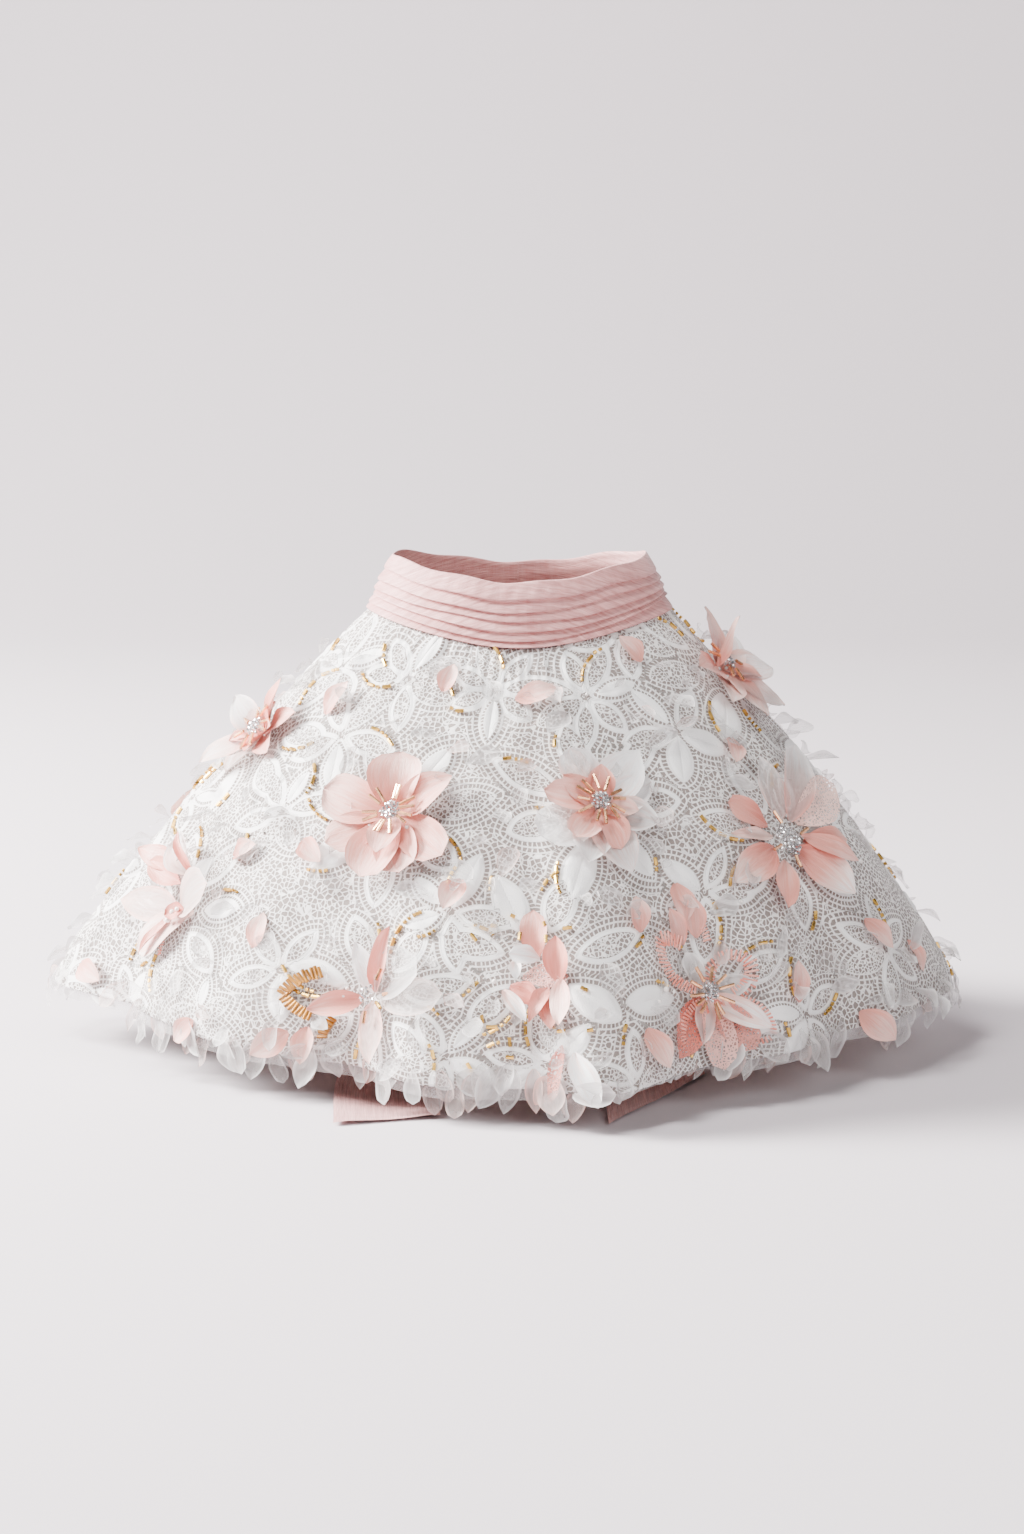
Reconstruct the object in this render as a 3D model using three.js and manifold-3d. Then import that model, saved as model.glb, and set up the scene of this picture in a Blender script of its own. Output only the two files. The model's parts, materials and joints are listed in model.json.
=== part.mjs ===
// A girl's occasion skirt in white guipure lace: a pleated pink sash at the waist, a fluted skirt
// sewn from a front and a back, raised flowers and loose petals, a petal hem and two sash tails.
// Millimetres, +Z up. The front faces -Y and the origin is the centre of the waist hold.
import * as THREE from 'three';
import Module from 'manifold-3d';

const wasm = await Module();
wasm.setup();

// Driving dimensions
const seamGap = 0.3;
const waist = { wide: 85, deep: 68, top: 20.5, dip: 6.5 };
const seam = { wide: 99.3, deep: 79, level: -18, dip: 9 };
const hem = { wide: 300, deep: 262, level: -273, dip: 8, lean: -8 };
const wall = { thick: 2, columns: 88, rows: 9, flare: 1.26, foldGrowth: 1.7, sideSeam: 90 };
const wallRoom = { beyond: 0.02, deep: 12 }; // space kept clear in the wall and past its edges
const gathers = { count: 44, deep: 0.8, fade: 0.22 };
const sash = {
  thick: 1.5, pleats: 5, pleatDeep: 2.2, tuck: 0.3, overlap: 0.015, columns: 60,
  wave: 0.012, waves: 2, wavePhase: 1.7, rimWave: 0.8, rimWaves: 9,
};
// A petal's outline is a stretch of a sine arch: claw is its width at the foot.
const petal = {
  rows: 4, thick: 1.2, long: 42, wide: 27, lift: 7, liftPower: 1.4, cup: 2.5, sunk: 1.4,
  clearOfTails: 0.65, outline: { claw: 0, from: 0.07, span: 0.86, power: 0.8 },
};
const bloom = {
  thick: 1.3, petalBase: 5, standOff: 3.4, cup: 3, lift: 5, everyOther: 2,
  overlap: 0.96, widestAt: 0.62, outline: { claw: 0.1, from: 0.02, span: 0.85, power: 1.2 },
};
const hub = {
  wide: 19, sides: 8, crown: 9.5,
  rings: [{ level: -3, width: 0.8 }, { level: 4.8, width: 1 }, { level: 8, width: 0.55 }],
};
const fringe = { thick: 1.4, strip: 6, count: 30, long: 14, uneven: 3, out: 3, sideGap: 0.1 };
const knot = {
  wide: 46, thick: 1.6, deep: 10, pinch: 0.7, columns: 9, rows: 7, standOff: 0.5,
  edge: 0.12, roundness: 0.6, squareness: 4, top: 0.02, bottom: 0.99,
};
const tail = {
  thick: 1.5, half: 33, topHalf: 10, topApart: 1.5, hemApart: 5, standOff: 2.6,
  ripple: 1.2, ripples: 7, rippleSlant: 2, fallFrom: 0.04,
  lane: 17, bend: 14, spread: 0.3, fallRows: 11, bendRows: 4, floorRows: 9, columns: 5,
};
const floorLevel = -304;

// Radius of the hem at each ridge and valley of its folds, going round from the left side.
const hemFolds = [
  { angle: -92, radius: 309 }, { angle: -72, radius: 257 }, { angle: -54, radius: 247 },
  { angle: -26, radius: 220 }, { angle: -11, radius: 247 }, { angle: 3, radius: 247 },
  { angle: 12, radius: 275 }, { angle: 31, radius: 241 }, { angle: 47, radius: 256 },
  { angle: 56, radius: 254 }, { angle: 70, radius: 281 }, { angle: 89, radius: 302 },
  { angle: 106, radius: 270 }, { angle: 124, radius: 272 }, { angle: 142, radius: 240 },
  { angle: 158, radius: 266 }, { angle: 178, radius: 246 }, { angle: 198, radius: 266 },
  { angle: 216, radius: 240 }, { angle: 233, radius: 266 }, { angle: 250, radius: 258 },
];

// Flowers on the lace: angle round from the front, drop from seam to hem, radius and petals.
const flowers = [
  { angle: -28.3, drop: 0.41, radius: 45, petals: 6, turn: 10 },
  { angle: 18.4, drop: 0.374, radius: 44, petals: 7, turn: 0 },
  { angle: 59.2, drop: 0.539, radius: 49, petals: 7, turn: 20 },
  { angle: -77.9, drop: 0.315, radius: 40, petals: 6, turn: 5 },
  { angle: -67.1, drop: 0.735, radius: 47, petals: 6, turn: 25 },
  { angle: 78.2, drop: 0.15, radius: 34, petals: 6, turn: 15 },
  { angle: -23, drop: 0.823, radius: 37, petals: 6, turn: 0 },
  { angle: 32.1, drop: 0.83, radius: 38, petals: 6, turn: 12 },
  { angle: 4.7, drop: 0.711, radius: 33, petals: 5, turn: 30 },
  { angle: 112, drop: 0.66, radius: 46, petals: 6, turn: 0 },
  { angle: 133, drop: 0.34, radius: 40, petals: 6, turn: 18 },
  { angle: 152, drop: 0.8, radius: 40, petals: 6, turn: 8 },
  { angle: 212, drop: 0.78, radius: 42, petals: 6, turn: 24 },
  { angle: 227, drop: 0.32, radius: 38, petals: 6, turn: 4 },
  { angle: 250, drop: 0.62, radius: 45, petals: 6, turn: 14 },
];

// Each sash tail on the floor: where its centre runs, from the back of the hem to its free end.
const tails = [
  { side: -1, name: 'left', route: [[-46, 150], [-62, 0], [-85, -110], [-83, -240]], slant: 10 },
  { side: 1, name: 'right', route: [[50, 150], [66, 20], [84, -70], [88, -173]], slant: 67 },
];

// Single petals sewn on the front between the flowers: turn 0 hangs straight down.
const loose = [
  { angle: -49, drop: 0.24, turn: 165 }, { angle: -50, drop: 0.47, turn: 40 },
  { angle: -8, drop: 0.56, turn: -20 }, { angle: -1, drop: 0.18, turn: 80 },
  { angle: 48, drop: 0.1, turn: 60 }, { angle: 62, drop: 0.26, turn: -40 },
  { angle: 30, drop: 0.6, turn: 170 }, { angle: 79, drop: 0.72, turn: 30 },
  { angle: 50, drop: 0.85, turn: 175 }, { angle: 70, drop: 0.9, turn: -35 },
  { angle: -47, drop: 0.76, turn: 20 }, { angle: -59, drop: 0.53, turn: -60 },
  { angle: -25, drop: 0.19, turn: 150 }, { angle: 19, drop: 0.63, turn: 10 },
];

const colours = {
  lace: { color: '#f3f2f0', roughness: 0.85, metalness: 0 },
  sash: { color: '#e1bcba', roughness: 0.7, metalness: 0 },
  bloom: { color: '#efcac4', roughness: 0.7, metalness: 0 },
  organza: { color: '#f8f6f4', roughness: 0.5, metalness: 0 },
};

// Helpers
const radians = THREE.MathUtils.degToRad;
const mix = THREE.MathUtils.lerp;
const steps = (count) => Array.from({ length: count }, (_, index) => index);
const share = (count) => steps(count).map((index) => index / (count - 1));

function ellipseRadius(angle, wide, deep) {
  return 1 / Math.hypot(Math.sin(angle) / wide, Math.cos(angle) / deep);
}

const foldsRound = [...hemFolds, { ...hemFolds[0], angle: hemFolds[0].angle + 360 }];

function hemRadius(angle) {
  const first = hemFolds[0].angle;
  const degrees = THREE.MathUtils.euclideanModulo(angle / radians(1) - first, 360) + first;
  const fold = Math.min(foldsRound.findLastIndex((one) => one.angle <= degrees), hemFolds.length - 1);
  const [from, to] = foldsRound.slice(fold, fold + 2);
  const part = (degrees - from.angle) / (to.angle - from.angle);
  return mix(from.radius, to.radius, (1 - Math.cos(Math.PI * part)) / 2);
}

// A point of the skirt's outer face: drop is 0 at the waist seam and 1 at the hem.
function skirtFace(angle, drop) {
  const spread = 1 - Math.max(0, 1 - drop) ** wall.flare;
  const fold = hemRadius(angle) - ellipseRadius(angle, hem.wide, hem.deep);
  const gather = gathers.deep * Math.max(0, 1 - drop / gathers.fade) * Math.cos(gathers.count * angle);
  const radius = ellipseRadius(angle, mix(seam.wide, hem.wide, spread), mix(seam.deep, hem.deep, spread))
    + fold * THREE.MathUtils.clamp(drop, 0, 1) ** wall.foldGrowth + gather;
  const seamLevel = seam.level - seam.dip * Math.cos(2 * angle);
  const hemLevel = hem.level - hem.dip * Math.cos(2 * angle);
  return new THREE.Vector3(
    hem.lean * drop + radius * Math.sin(angle),
    -radius * Math.cos(angle),
    mix(seamLevel, hemLevel, drop),
  );
}

function skirtNormal(angle, drop) {
  const near = 0.02;
  const above = Math.max(drop - near, 0);
  const along = skirtFace(angle, above + 2 * near).sub(skirtFace(angle, above));
  const round = skirtFace(angle + near, drop).sub(skirtFace(angle - near, drop));
  return round.cross(along).negate().normalize();
}

function skirtPoint(angle, drop, out) {
  return skirtFace(angle, drop).addScaledVector(skirtNormal(angle, drop), out);
}

function skirtRadius(angle, drop) {
  const { x, y } = skirtFace(angle, drop);
  return Math.hypot(x, y);
}

// A place on the skirt, and the points at millimetres across, down and out from it.
function skirtSpot(angle, drop) {
  const near = 0.05;
  const highest = 0.004;
  const slope = skirtFace(angle, drop + near).distanceTo(skirtFace(angle, drop - near)) / (2 * near);
  return (across, down, out) => {
    const level = Math.max(highest, drop + down / slope);
    return skirtPoint(angle + across / skirtRadius(angle, level), level, out);
  };
}

// A closed solid between two grids of points, outer[column][row] and inner[column][row].
function slab(outer, inner, loop = false) {
  const columns = outer.length;
  const rows = outer[0].length;
  const points = [...outer.flat(), ...inner.flat()];
  const at = (column, row, side) => side * columns * rows + (column % columns) * rows + row;
  const triangles = [];
  const quad = (a, b, c, d) => triangles.push(a, b, c, a, c, d);
  const last = loop ? columns : columns - 1;
  for (let column = 0; column < last; column += 1) {
    for (let row = 0; row < rows - 1; row += 1) {
      quad(at(column, row, 0), at(column, row + 1, 0), at(column + 1, row + 1, 0), at(column + 1, row, 0));
      quad(at(column, row, 1), at(column + 1, row, 1), at(column + 1, row + 1, 1), at(column, row + 1, 1));
    }
    quad(at(column, 0, 0), at(column + 1, 0, 0), at(column + 1, 0, 1), at(column, 0, 1));
    quad(at(column, rows - 1, 0), at(column, rows - 1, 1),
      at(column + 1, rows - 1, 1), at(column + 1, rows - 1, 0));
  }
  for (let row = 0; row < rows - 1 && !loop; row += 1) {
    quad(at(0, row, 0), at(0, row, 1), at(0, row + 1, 1), at(0, row + 1, 0));
    quad(at(last, row, 0), at(last, row + 1, 0), at(last, row + 1, 1), at(last, row, 1));
  }
  return solidOf(points, triangles);
}

// A ring: closed sections, one for each step round the waist.
function ring(sections) {
  const count = sections[0].length;
  const at = (section, point) => (section % sections.length) * count + (point % count);
  const triangles = [];
  sections.forEach((_, section) => {
    for (let point = 0; point < count; point += 1) {
      triangles.push(at(section, point), at(section, point + 1), at(section + 1, point + 1));
      triangles.push(at(section, point), at(section + 1, point + 1), at(section + 1, point));
    }
  });
  return solidOf(sections.flat(), triangles);
}

function solidOf(points, triangles) {
  const mesh = new wasm.Mesh({
    numProp: 3,
    vertProperties: Float32Array.from(points.flatMap((point) => point.toArray())),
    triVerts: Uint32Array.from(triangles),
  });
  mesh.merge();
  const solid = new wasm.Manifold(mesh);
  if (solid.volume() < 0) throw new Error('a solid is inside out');
  return solid;
}

function largest(solid) {
  return solid.decompose().sort((one, other) => other.volume() - one.volume())[0];
}

const part = new THREE.Group();

function add(name, solid, look) {
  const mesh = solid.getMesh();
  const geometry = new THREE.BufferGeometry();
  geometry.setAttribute('position', new THREE.BufferAttribute(mesh.vertProperties, 3));
  geometry.setIndex(new THREE.BufferAttribute(mesh.triVerts, 1));
  geometry.computeVertexNormals();
  const piece = new THREE.Mesh(geometry, new THREE.MeshStandardMaterial(look));
  piece.name = name;
  part.add(piece);
}

// Petals: a cupped leaf of cloth. place(across, along, out) gives its points.
function outlineWidth({ claw, from, span, power }, along) {
  return claw + (1 - claw) * Math.sin(Math.PI * (from + span * along) ** power);
}

function petalSolid(place, { long, wide, thick, lift, cup, outline, start = 0, base = 0 }) {
  const grid = (out) => [-1, 0, 1].map((across) => share(petal.rows).map((along) => {
    const height = base + lift * along ** petal.liftPower
      + cup * across ** 2 * Math.sin(Math.PI * along);
    const aside = across * (wide / 2) * outlineWidth(outline, along);
    return place(aside, start + along * long, height + out);
  }));
  return slab(grid(thick), grid(0));
}

// The skirt's two halves, each with its loose petals sewn on.
function wallGrid(from, count, levels, out) {
  return steps(count).map((step) => {
    const angle = radians(from) + (2 * Math.PI * step) / wall.columns;
    return levels.map((level) => skirtPoint(angle, level, out));
  });
}

const skirtLevels = share(wall.rows);
const roomLevels = [-wallRoom.beyond, ...skirtLevels, 1 + wallRoom.beyond];
const clearance = slab(
  wallGrid(-wall.sideSeam, wall.columns, roomLevels, seamGap),
  wallGrid(-wall.sideSeam, wall.columns, roomLevels, -wallRoom.deep),
  true,
);

function halfSkirt(from) {
  const count = wall.columns / 2 + 1;
  const inset = (seamGap / 2 / hem.wide) / radians(1);
  const face = (out) => wallGrid(from, count, skirtLevels, out).map((column, index) => {
    if (index > 0 && index < count - 1) return column;
    const turn = index === 0 ? inset : -inset;
    return skirtLevels.map((level) => skirtPoint(
      radians(from + (index * 360) / wall.columns + turn * hem.wide / mix(seam.wide, hem.wide, level)),
      level, out));
  });
  return slab(face(0), face(-wall.thick));
}

// The back repeats the front's loose petals, mirrored, where no flower or tail lies.
function loosePetals() {
  const mirrored = loose.map(({ angle, drop, turn }) => ({ angle: 180 - angle, drop, turn: -turn }));
  return [...loose, ...mirrored].filter(({ angle, drop }) => {
    const here = skirtFace(radians(angle), drop);
    const clear = flowers.every((flower) => here.distanceTo(skirtFace(radians(flower.angle), flower.drop))
      > flower.radius + petal.long / 2);
    const underTails = here.y > 0 && Math.abs(here.x) < 2 * tail.half + petal.long * petal.clearOfTails;
    return clear && !underTails;
  });
}

function loosePetal({ angle, drop, turn }) {
  const spot = skirtSpot(radians(angle), drop);
  const cos = Math.cos(radians(turn));
  const sin = Math.sin(radians(turn));
  const place = (across, along, out) => {
    const down = along - petal.long / 2;
    return spot(across * cos + down * sin, down * cos - across * sin, out);
  };
  return petalSolid(place, { ...petal, base: -petal.sunk });
}

const petals = loosePetals();
[['skirt_front', -90], ['skirt_back', 90]].forEach(([name, from]) => {
  const own = petals.filter(({ angle }) => angle > from && angle < from + 180);
  const half = wasm.Manifold.union([halfSkirt(from), ...own.map(loosePetal)]);
  add(name, half, colours.lace);
});

// The sash band: shingled pleats round the waist, each overlapping the one below.
function sashPoint(angle, level, out) {
  const top = waist.top - waist.dip * Math.cos(2 * angle)
    + sash.rimWave * Math.sin(sash.rimWaves * angle);
  const bottom = seam.level - seam.dip * Math.cos(2 * angle) + seamGap;
  const radius = out
    + ellipseRadius(angle, mix(waist.wide, seam.wide, level), mix(waist.deep, seam.deep, level));
  return new THREE.Vector3(
    radius * Math.sin(angle), -radius * Math.cos(angle), mix(top, bottom, level));
}

function pleatEdge(angle, pleat) {
  return pleat / sash.pleats + sash.wave * Math.sin(angle * sash.waves + pleat * sash.wavePhase);
}

function sashSection(angle) {
  const point = (level, out) => sashPoint(angle, level, out);
  const outer = steps(sash.pleats).flatMap((pleat) => {
    const from = pleat === 0 ? 0 : pleatEdge(angle, pleat) + sash.overlap;
    const to = pleat === sash.pleats - 1 ? 1 : pleatEdge(angle, pleat + 1);
    return [point(from, sash.tuck), point(to, sash.pleatDeep)];
  });
  return [...outer, point(1, -sash.thick), point(0, -sash.thick)];
}

add('sash_band', ring(steps(sash.columns).map((step) => (
  sashSection((2 * Math.PI * step) / sash.columns)))), colours.sash);

// The flowers: broad petals round a beaded button, which stands on the lace.
function hubSolid(spot) {
  const { sides, rings } = hub;
  const wheel = rings.map(({ level, width }) => steps(sides).map((step) => {
    const round = (2 * Math.PI * step) / sides;
    const reach = (hub.wide / 2) * width;
    return spot(reach * Math.sin(round), reach * Math.cos(round), level);
  }));
  const points = [...wheel.flat(), spot(0, 0, rings[0].level), spot(0, 0, hub.crown)];
  const at = (row, step) => row * sides + (step % sides);
  const triangles = steps(sides).flatMap((step) => [
    ...steps(rings.length - 1).flatMap((row) => [
      at(row, step), at(row, step + 1), at(row + 1, step + 1),
      at(row, step), at(row + 1, step + 1), at(row + 1, step)]),
    points.length - 2, at(0, step + 1), at(0, step),
    points.length - 1, at(rings.length - 1, step), at(rings.length - 1, step + 1),
  ]);
  return solidOf(points, triangles);
}

function flowerSolid({ angle, drop, radius, petals: count, turn }) {
  const spot = skirtSpot(radians(angle), drop);
  const blades = steps(count).map((index) => {
    const heading = radians(turn + (360 * index) / count);
    const place = (across, along, out) => spot(
      across * Math.cos(heading) + along * Math.sin(heading),
      along * Math.cos(heading) - across * Math.sin(heading), out);
    return petalSolid(place, {
      long: radius - bloom.petalBase,
      wide: (bloom.overlap * 2 * Math.PI * radius * bloom.widestAt) / count,
      thick: bloom.thick,
      lift: bloom.lift + bloom.everyOther * (index % 2),
      cup: bloom.cup,
      outline: bloom.outline,
      start: bloom.petalBase,
      base: bloom.standOff,
    });
  });
  return largest(wasm.Manifold.union([hubSolid(spot), ...blades]).subtract(clearance));
}

flowers.forEach((flower, index) => {
  add(`flower_${String(index + 1).padStart(2, '0')}`, flowerSolid(flower), colours.bloom);
});

// The petal hem: an organza strip just under the lace, whose lower edge is cut into leaf petals.
const leafEdge = [
  { part: 0, reach: 0 }, { part: 0.25, reach: 0.62 }, { part: 0.5, reach: 1 }, { part: 0.75, reach: 0.62 }];

const nearTails = (angle, reach) => Math.abs(THREE.MathUtils.euclideanModulo(angle, 360) - 180) < reach;

function hemFringe(from) {
  const height = seam.level - hem.level;
  const pitch = 180 / fringe.count;
  const span = 180 - 2 * fringe.sideGap;
  const edge = steps(fringe.count).flatMap((leaf) => leafEdge.map(({ part, reach }) => {
    const angle = from + fringe.sideGap + (span * (leaf + part)) / fringe.count;
    const hidden = nearTails(angle, tail.lane + pitch / 2);
    return { angle, reach: hidden ? 0 : reach * (fringe.long - fringe.uneven * (leaf % 3)) };
  }));
  edge.push({ angle: from + fringe.sideGap + span, reach: 0 });
  const face = (out) => edge.map(({ angle, reach }) => [
    skirtPoint(radians(angle), 1 + seamGap / height, out),
    skirtPoint(radians(angle), 1 + (fringe.strip + reach) / height, out + (fringe.out * reach) / fringe.long),
  ]);
  return slab(face(-seamGap), face(-seamGap - fringe.thick));
}

add('hem_petals_front', hemFringe(-90), colours.organza);
add('hem_petals_back', hemFringe(90), colours.organza);

// The knot at the centre back, a soft block pinched at its middle, and the tails below it.
function knotSolid() {
  const face = (out) => share(knot.columns).map((across) => share(knot.rows).map((level) => {
    const side = 2 * across - 1;
    const round = Math.sqrt(Math.max(0, 1 - side ** knot.squareness))
      * Math.sin(Math.PI * mix(knot.edge, 1 - knot.edge, level)) ** knot.roundness;
    const half = (knot.wide / 2) * mix(1, knot.pinch, Math.sin(Math.PI * level));
    const angle = Math.PI - (side * half) / waist.deep;
    return sashPoint(angle, mix(knot.top, knot.bottom, level),
      sash.pleatDeep + knot.standOff + out * (knot.thick + knot.deep * round));
  }).reverse());
  return slab(face(1), face(0));
}

add('sash_knot', knotSolid(), colours.sash);

function tailSolid({ side, route, slant }) {
  const halfAt = (drop) => mix(tail.topHalf, tail.half, Math.min(1, drop / tail.spread));
  const offsetAt = (drop, unit) => side * (halfAt(drop) + mix(tail.topApart, tail.hemApart, drop))
    + unit * halfAt(drop);
  const across = share(tail.columns).map((step) => 1 - 2 * step);
  const column = (unit) => {
    const fall = share(tail.fallRows).map((part) => mix(tail.fallFrom, 1, part)).map((drop) => {
      const wave = tail.ripple * Math.sin(Math.PI * drop)
        * (1 + Math.sin(tail.ripples * drop + tail.rippleSlant * unit));
      return (out) => skirtPoint(
        Math.PI - offsetAt(drop, unit) / skirtRadius(Math.PI, drop), drop, tail.standOff + wave + out);
    });
    const angleTop = Math.PI - offsetAt(0, unit) / seam.deep;
    const top = (out) => sashPoint(angleTop, 1, sash.pleatDeep + knot.standOff + out)
      .setZ(seam.level - seam.dip);
    const edge = skirtPoint(Math.PI - offsetAt(1, unit) / hem.deep, 1, tail.standOff);
    const centre = edge.y + tail.thick - tail.bend;
    const bend = share(tail.bendRows).map((part) => (out) => {
      const round = (Math.PI / 2) * part;
      const reach = tail.bend - tail.thick + out;
      return new THREE.Vector3(
        edge.x, centre + reach * Math.cos(round), floorLevel + tail.bend - reach * Math.sin(round));
    });
    const start = offsetAt(1, 0) + hem.lean;
    const curve = new THREE.SplineCurve([
      new THREE.Vector2(start, centre), ...route.map(([x, y]) => new THREE.Vector2(x, y))]);
    const run = share(tail.floorRows + 1).slice(1).map((part) => {
      const point = curve.getPoint(part);
      return (out) => new THREE.Vector3(
        point.x + unit * tail.half, point.y + unit * slant * part ** 3,
        floorLevel + tail.thick - out);
    });
    return [top, ...fall, ...bend, ...run];
  };
  const columns = across.map(column);
  const face = (out) => columns.map((rows) => rows.map((row) => row(out)));
  return largest(slab(face(tail.thick), face(0)).subtract(clearance));
}

tails.forEach((one) => add(`sash_tail_${one.name}`, tailSolid(one), colours.sash));

export default part;
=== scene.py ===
import json
import math

import bmesh
import bpy
import numpy as np
from mathutils import Matrix, Vector

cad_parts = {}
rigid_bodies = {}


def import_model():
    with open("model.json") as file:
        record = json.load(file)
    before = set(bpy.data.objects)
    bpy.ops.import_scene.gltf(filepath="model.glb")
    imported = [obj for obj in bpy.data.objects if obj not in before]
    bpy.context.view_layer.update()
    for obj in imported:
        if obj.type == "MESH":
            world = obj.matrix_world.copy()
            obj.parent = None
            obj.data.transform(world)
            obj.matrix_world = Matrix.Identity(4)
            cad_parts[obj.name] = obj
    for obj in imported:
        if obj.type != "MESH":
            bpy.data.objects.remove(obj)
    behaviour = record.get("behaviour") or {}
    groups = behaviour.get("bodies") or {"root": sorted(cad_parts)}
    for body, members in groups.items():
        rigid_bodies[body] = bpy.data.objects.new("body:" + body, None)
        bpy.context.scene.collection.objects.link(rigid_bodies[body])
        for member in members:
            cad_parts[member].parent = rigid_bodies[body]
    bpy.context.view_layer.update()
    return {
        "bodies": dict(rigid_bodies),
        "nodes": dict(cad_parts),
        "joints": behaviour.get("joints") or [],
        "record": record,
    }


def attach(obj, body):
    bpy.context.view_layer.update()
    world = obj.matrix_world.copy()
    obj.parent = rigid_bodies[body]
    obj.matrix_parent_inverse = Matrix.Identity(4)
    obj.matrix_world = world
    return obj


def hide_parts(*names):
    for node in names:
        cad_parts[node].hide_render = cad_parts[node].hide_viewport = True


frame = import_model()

mm = 0.001
tau = 2 * math.pi

# The skirt's form in millimetres: the front faces -Y and angles go round from the front.
skirtForm = {
    "seamWide": 99.3, "seamDeep": 79, "seamLevel": -18, "seamDip": 9,
    "hemWide": 300, "hemDeep": 262, "hemLevel": -273, "hemDip": 8, "lean": -8,
    "flare": 1.26, "foldGrowth": 1.7,
    "gathers": 88, "gatherDepth": 0.8, "gatherFade": 0.22,
    "rumple": 1.5,
    # angle and radius of the hem at each ridge and valley of the folds
    "hemFolds": [
        (-92, 309), (-72, 257), (-54, 247), (-26, 220), (-11, 247), (3, 247), (12, 275),
        (31, 241), (47, 256), (56, 254), (70, 281), (89, 302), (106, 270), (124, 272),
        (142, 240), (158, 266), (178, 246), (198, 266), (216, 240), (233, 266), (250, 258)],
}
waistForm = {"wide": 85, "deep": 68, "top": 20.5, "dip": 6.5, "rimWave": 0.8}
floorLevel = -304


def mix(low, high, part):
    return low + (high - low) * part


def smooth(low, high, value):
    part = np.clip((value - low) / (high - low), 0, 1)
    return part * part * (3 - 2 * part)


def ellipseRadius(angle, wide, deep):
    return 1 / np.hypot(np.sin(angle) / wide, np.cos(angle) / deep)


def hemRadius(angle):
    folds = np.array(skirtForm["hemFolds"], float)
    corners = np.append(folds[:, 0], folds[0, 0] + 360)
    radii = np.append(folds[:, 1], folds[0, 1])
    degrees = np.mod(np.degrees(angle) - corners[0], 360) + corners[0]
    fold = np.clip(np.searchsorted(corners, degrees, side="right") - 1, 0, len(folds) - 1)
    part = (degrees - corners[fold]) / (corners[fold + 1] - corners[fold])
    return mix(radii[fold], radii[fold + 1], (1 - np.cos(math.pi * part)) / 2)


def skirtFace(angle, drop):  # drop is 0 at the waist seam and 1 at the hem
    form = skirtForm
    spread = 1 - np.maximum(0, 1 - drop) ** form["flare"]
    fold = hemRadius(angle) - ellipseRadius(angle, form["hemWide"], form["hemDeep"])
    gather = form["gatherDepth"] * np.maximum(0, 1 - drop / form["gatherFade"])
    rumple = np.sin(11 * angle + 5 * drop) * np.sin(9 * drop + 3 * angle)
    rumple = rumple + 0.6 * np.sin(23 * angle - 8 * drop) * np.sin(17 * drop + 2)
    radius = ellipseRadius(
        angle,
        mix(form["seamWide"], form["hemWide"], spread),
        mix(form["seamDeep"], form["hemDeep"], spread))
    radius = radius + fold * np.clip(drop, 0, 1) ** form["foldGrowth"]
    bunch = np.cos(form["gathers"] * angle + 2.5 * np.sin(7 * angle)) + np.cos(39 * angle)
    radius = radius + gather * bunch / 2
    radius = radius + form["rumple"] * rumple * np.sin(math.pi * np.clip(drop, 0, 1))
    around = np.cos(2 * angle)
    seam = form["seamLevel"] - form["seamDip"] * around
    hem = form["hemLevel"] - form["hemDip"] * around
    return np.stack([
        form["lean"] * drop + radius * np.sin(angle),
        -radius * np.cos(angle),
        mix(seam, hem, drop)], -1)


def skirtRadius(angle, drop):
    return np.hypot(*np.moveaxis(skirtFace(angle, drop)[..., :2], -1, 0))


def skirtPoint(angle, drop, out=0.0):
    angle, drop, out = np.broadcast_arrays(
        np.asarray(angle, float), np.asarray(drop, float), np.asarray(out, float))
    near = 0.02
    above = np.maximum(drop - near, 0)
    along = skirtFace(angle, above + 2 * near) - skirtFace(angle, above)
    around = skirtFace(angle + near, drop) - skirtFace(angle - near, drop)
    normal = np.cross(along, around)
    normal /= np.linalg.norm(normal, axis=-1, keepdims=True)
    return skirtFace(angle, drop) + normal * out[..., None]


def skirtSpot(angle, drop, turn=0.0):  # places points across, down and out from one spot
    step = 0.05
    slope = np.linalg.norm(skirtFace(angle, drop + step) - skirtFace(angle, drop - step)) / (2 * step)
    cos, sin = math.cos(turn), math.sin(turn)

    def place(across, along, out):
        down = along * cos - across * sin
        sideways = across * cos + along * sin
        level = np.maximum(0.004, drop + down / slope)
        return skirtPoint(angle + sideways / skirtRadius(angle, level), level, out)

    return place


# The camera, the floor and the light
studio = {
    "cameraPlace": (-5, -2667, 300), "lookDown": 8.9, "lens": 93.87,
    "floor": (0.62, 0.56, 0.59), "floorShade": (0.59, 0.535, 0.56),
    "world": (0.93, 0.92, 0.95), "worldStrength": 0.04,
    # the paper sweep in metres: its front, where and how roundly it turns up, its top and half width
    "sweepFront": -4.0, "sweepTurn": 2.2, "sweepRadius": 1.6, "sweepTop": 6.0, "sweepHalf": 6,
    # each lamp's place, target, size, power and colour
    "lamps": {
        "sideLight": ((-2.68, 0.47, 1.27), (0, 0, -0.1), 1.2, 880, (1, 0.985, 0.965)),
        "keyLight": ((-1.3, -0.75, 2.6), (0, 0, -0.1), 0.9, 150, (1, 1, 1)),
        "fillLight": ((1.6, -2.2, 1.3), (0, 0, -0.1), 1.8, 58, (1, 1, 1)),
        "backLight": ((-1.2, 1.8, 2.8), (-0.4, 3.8, 1.6), 2.0, 14, (1, 1, 1)),
    },
}


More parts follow.
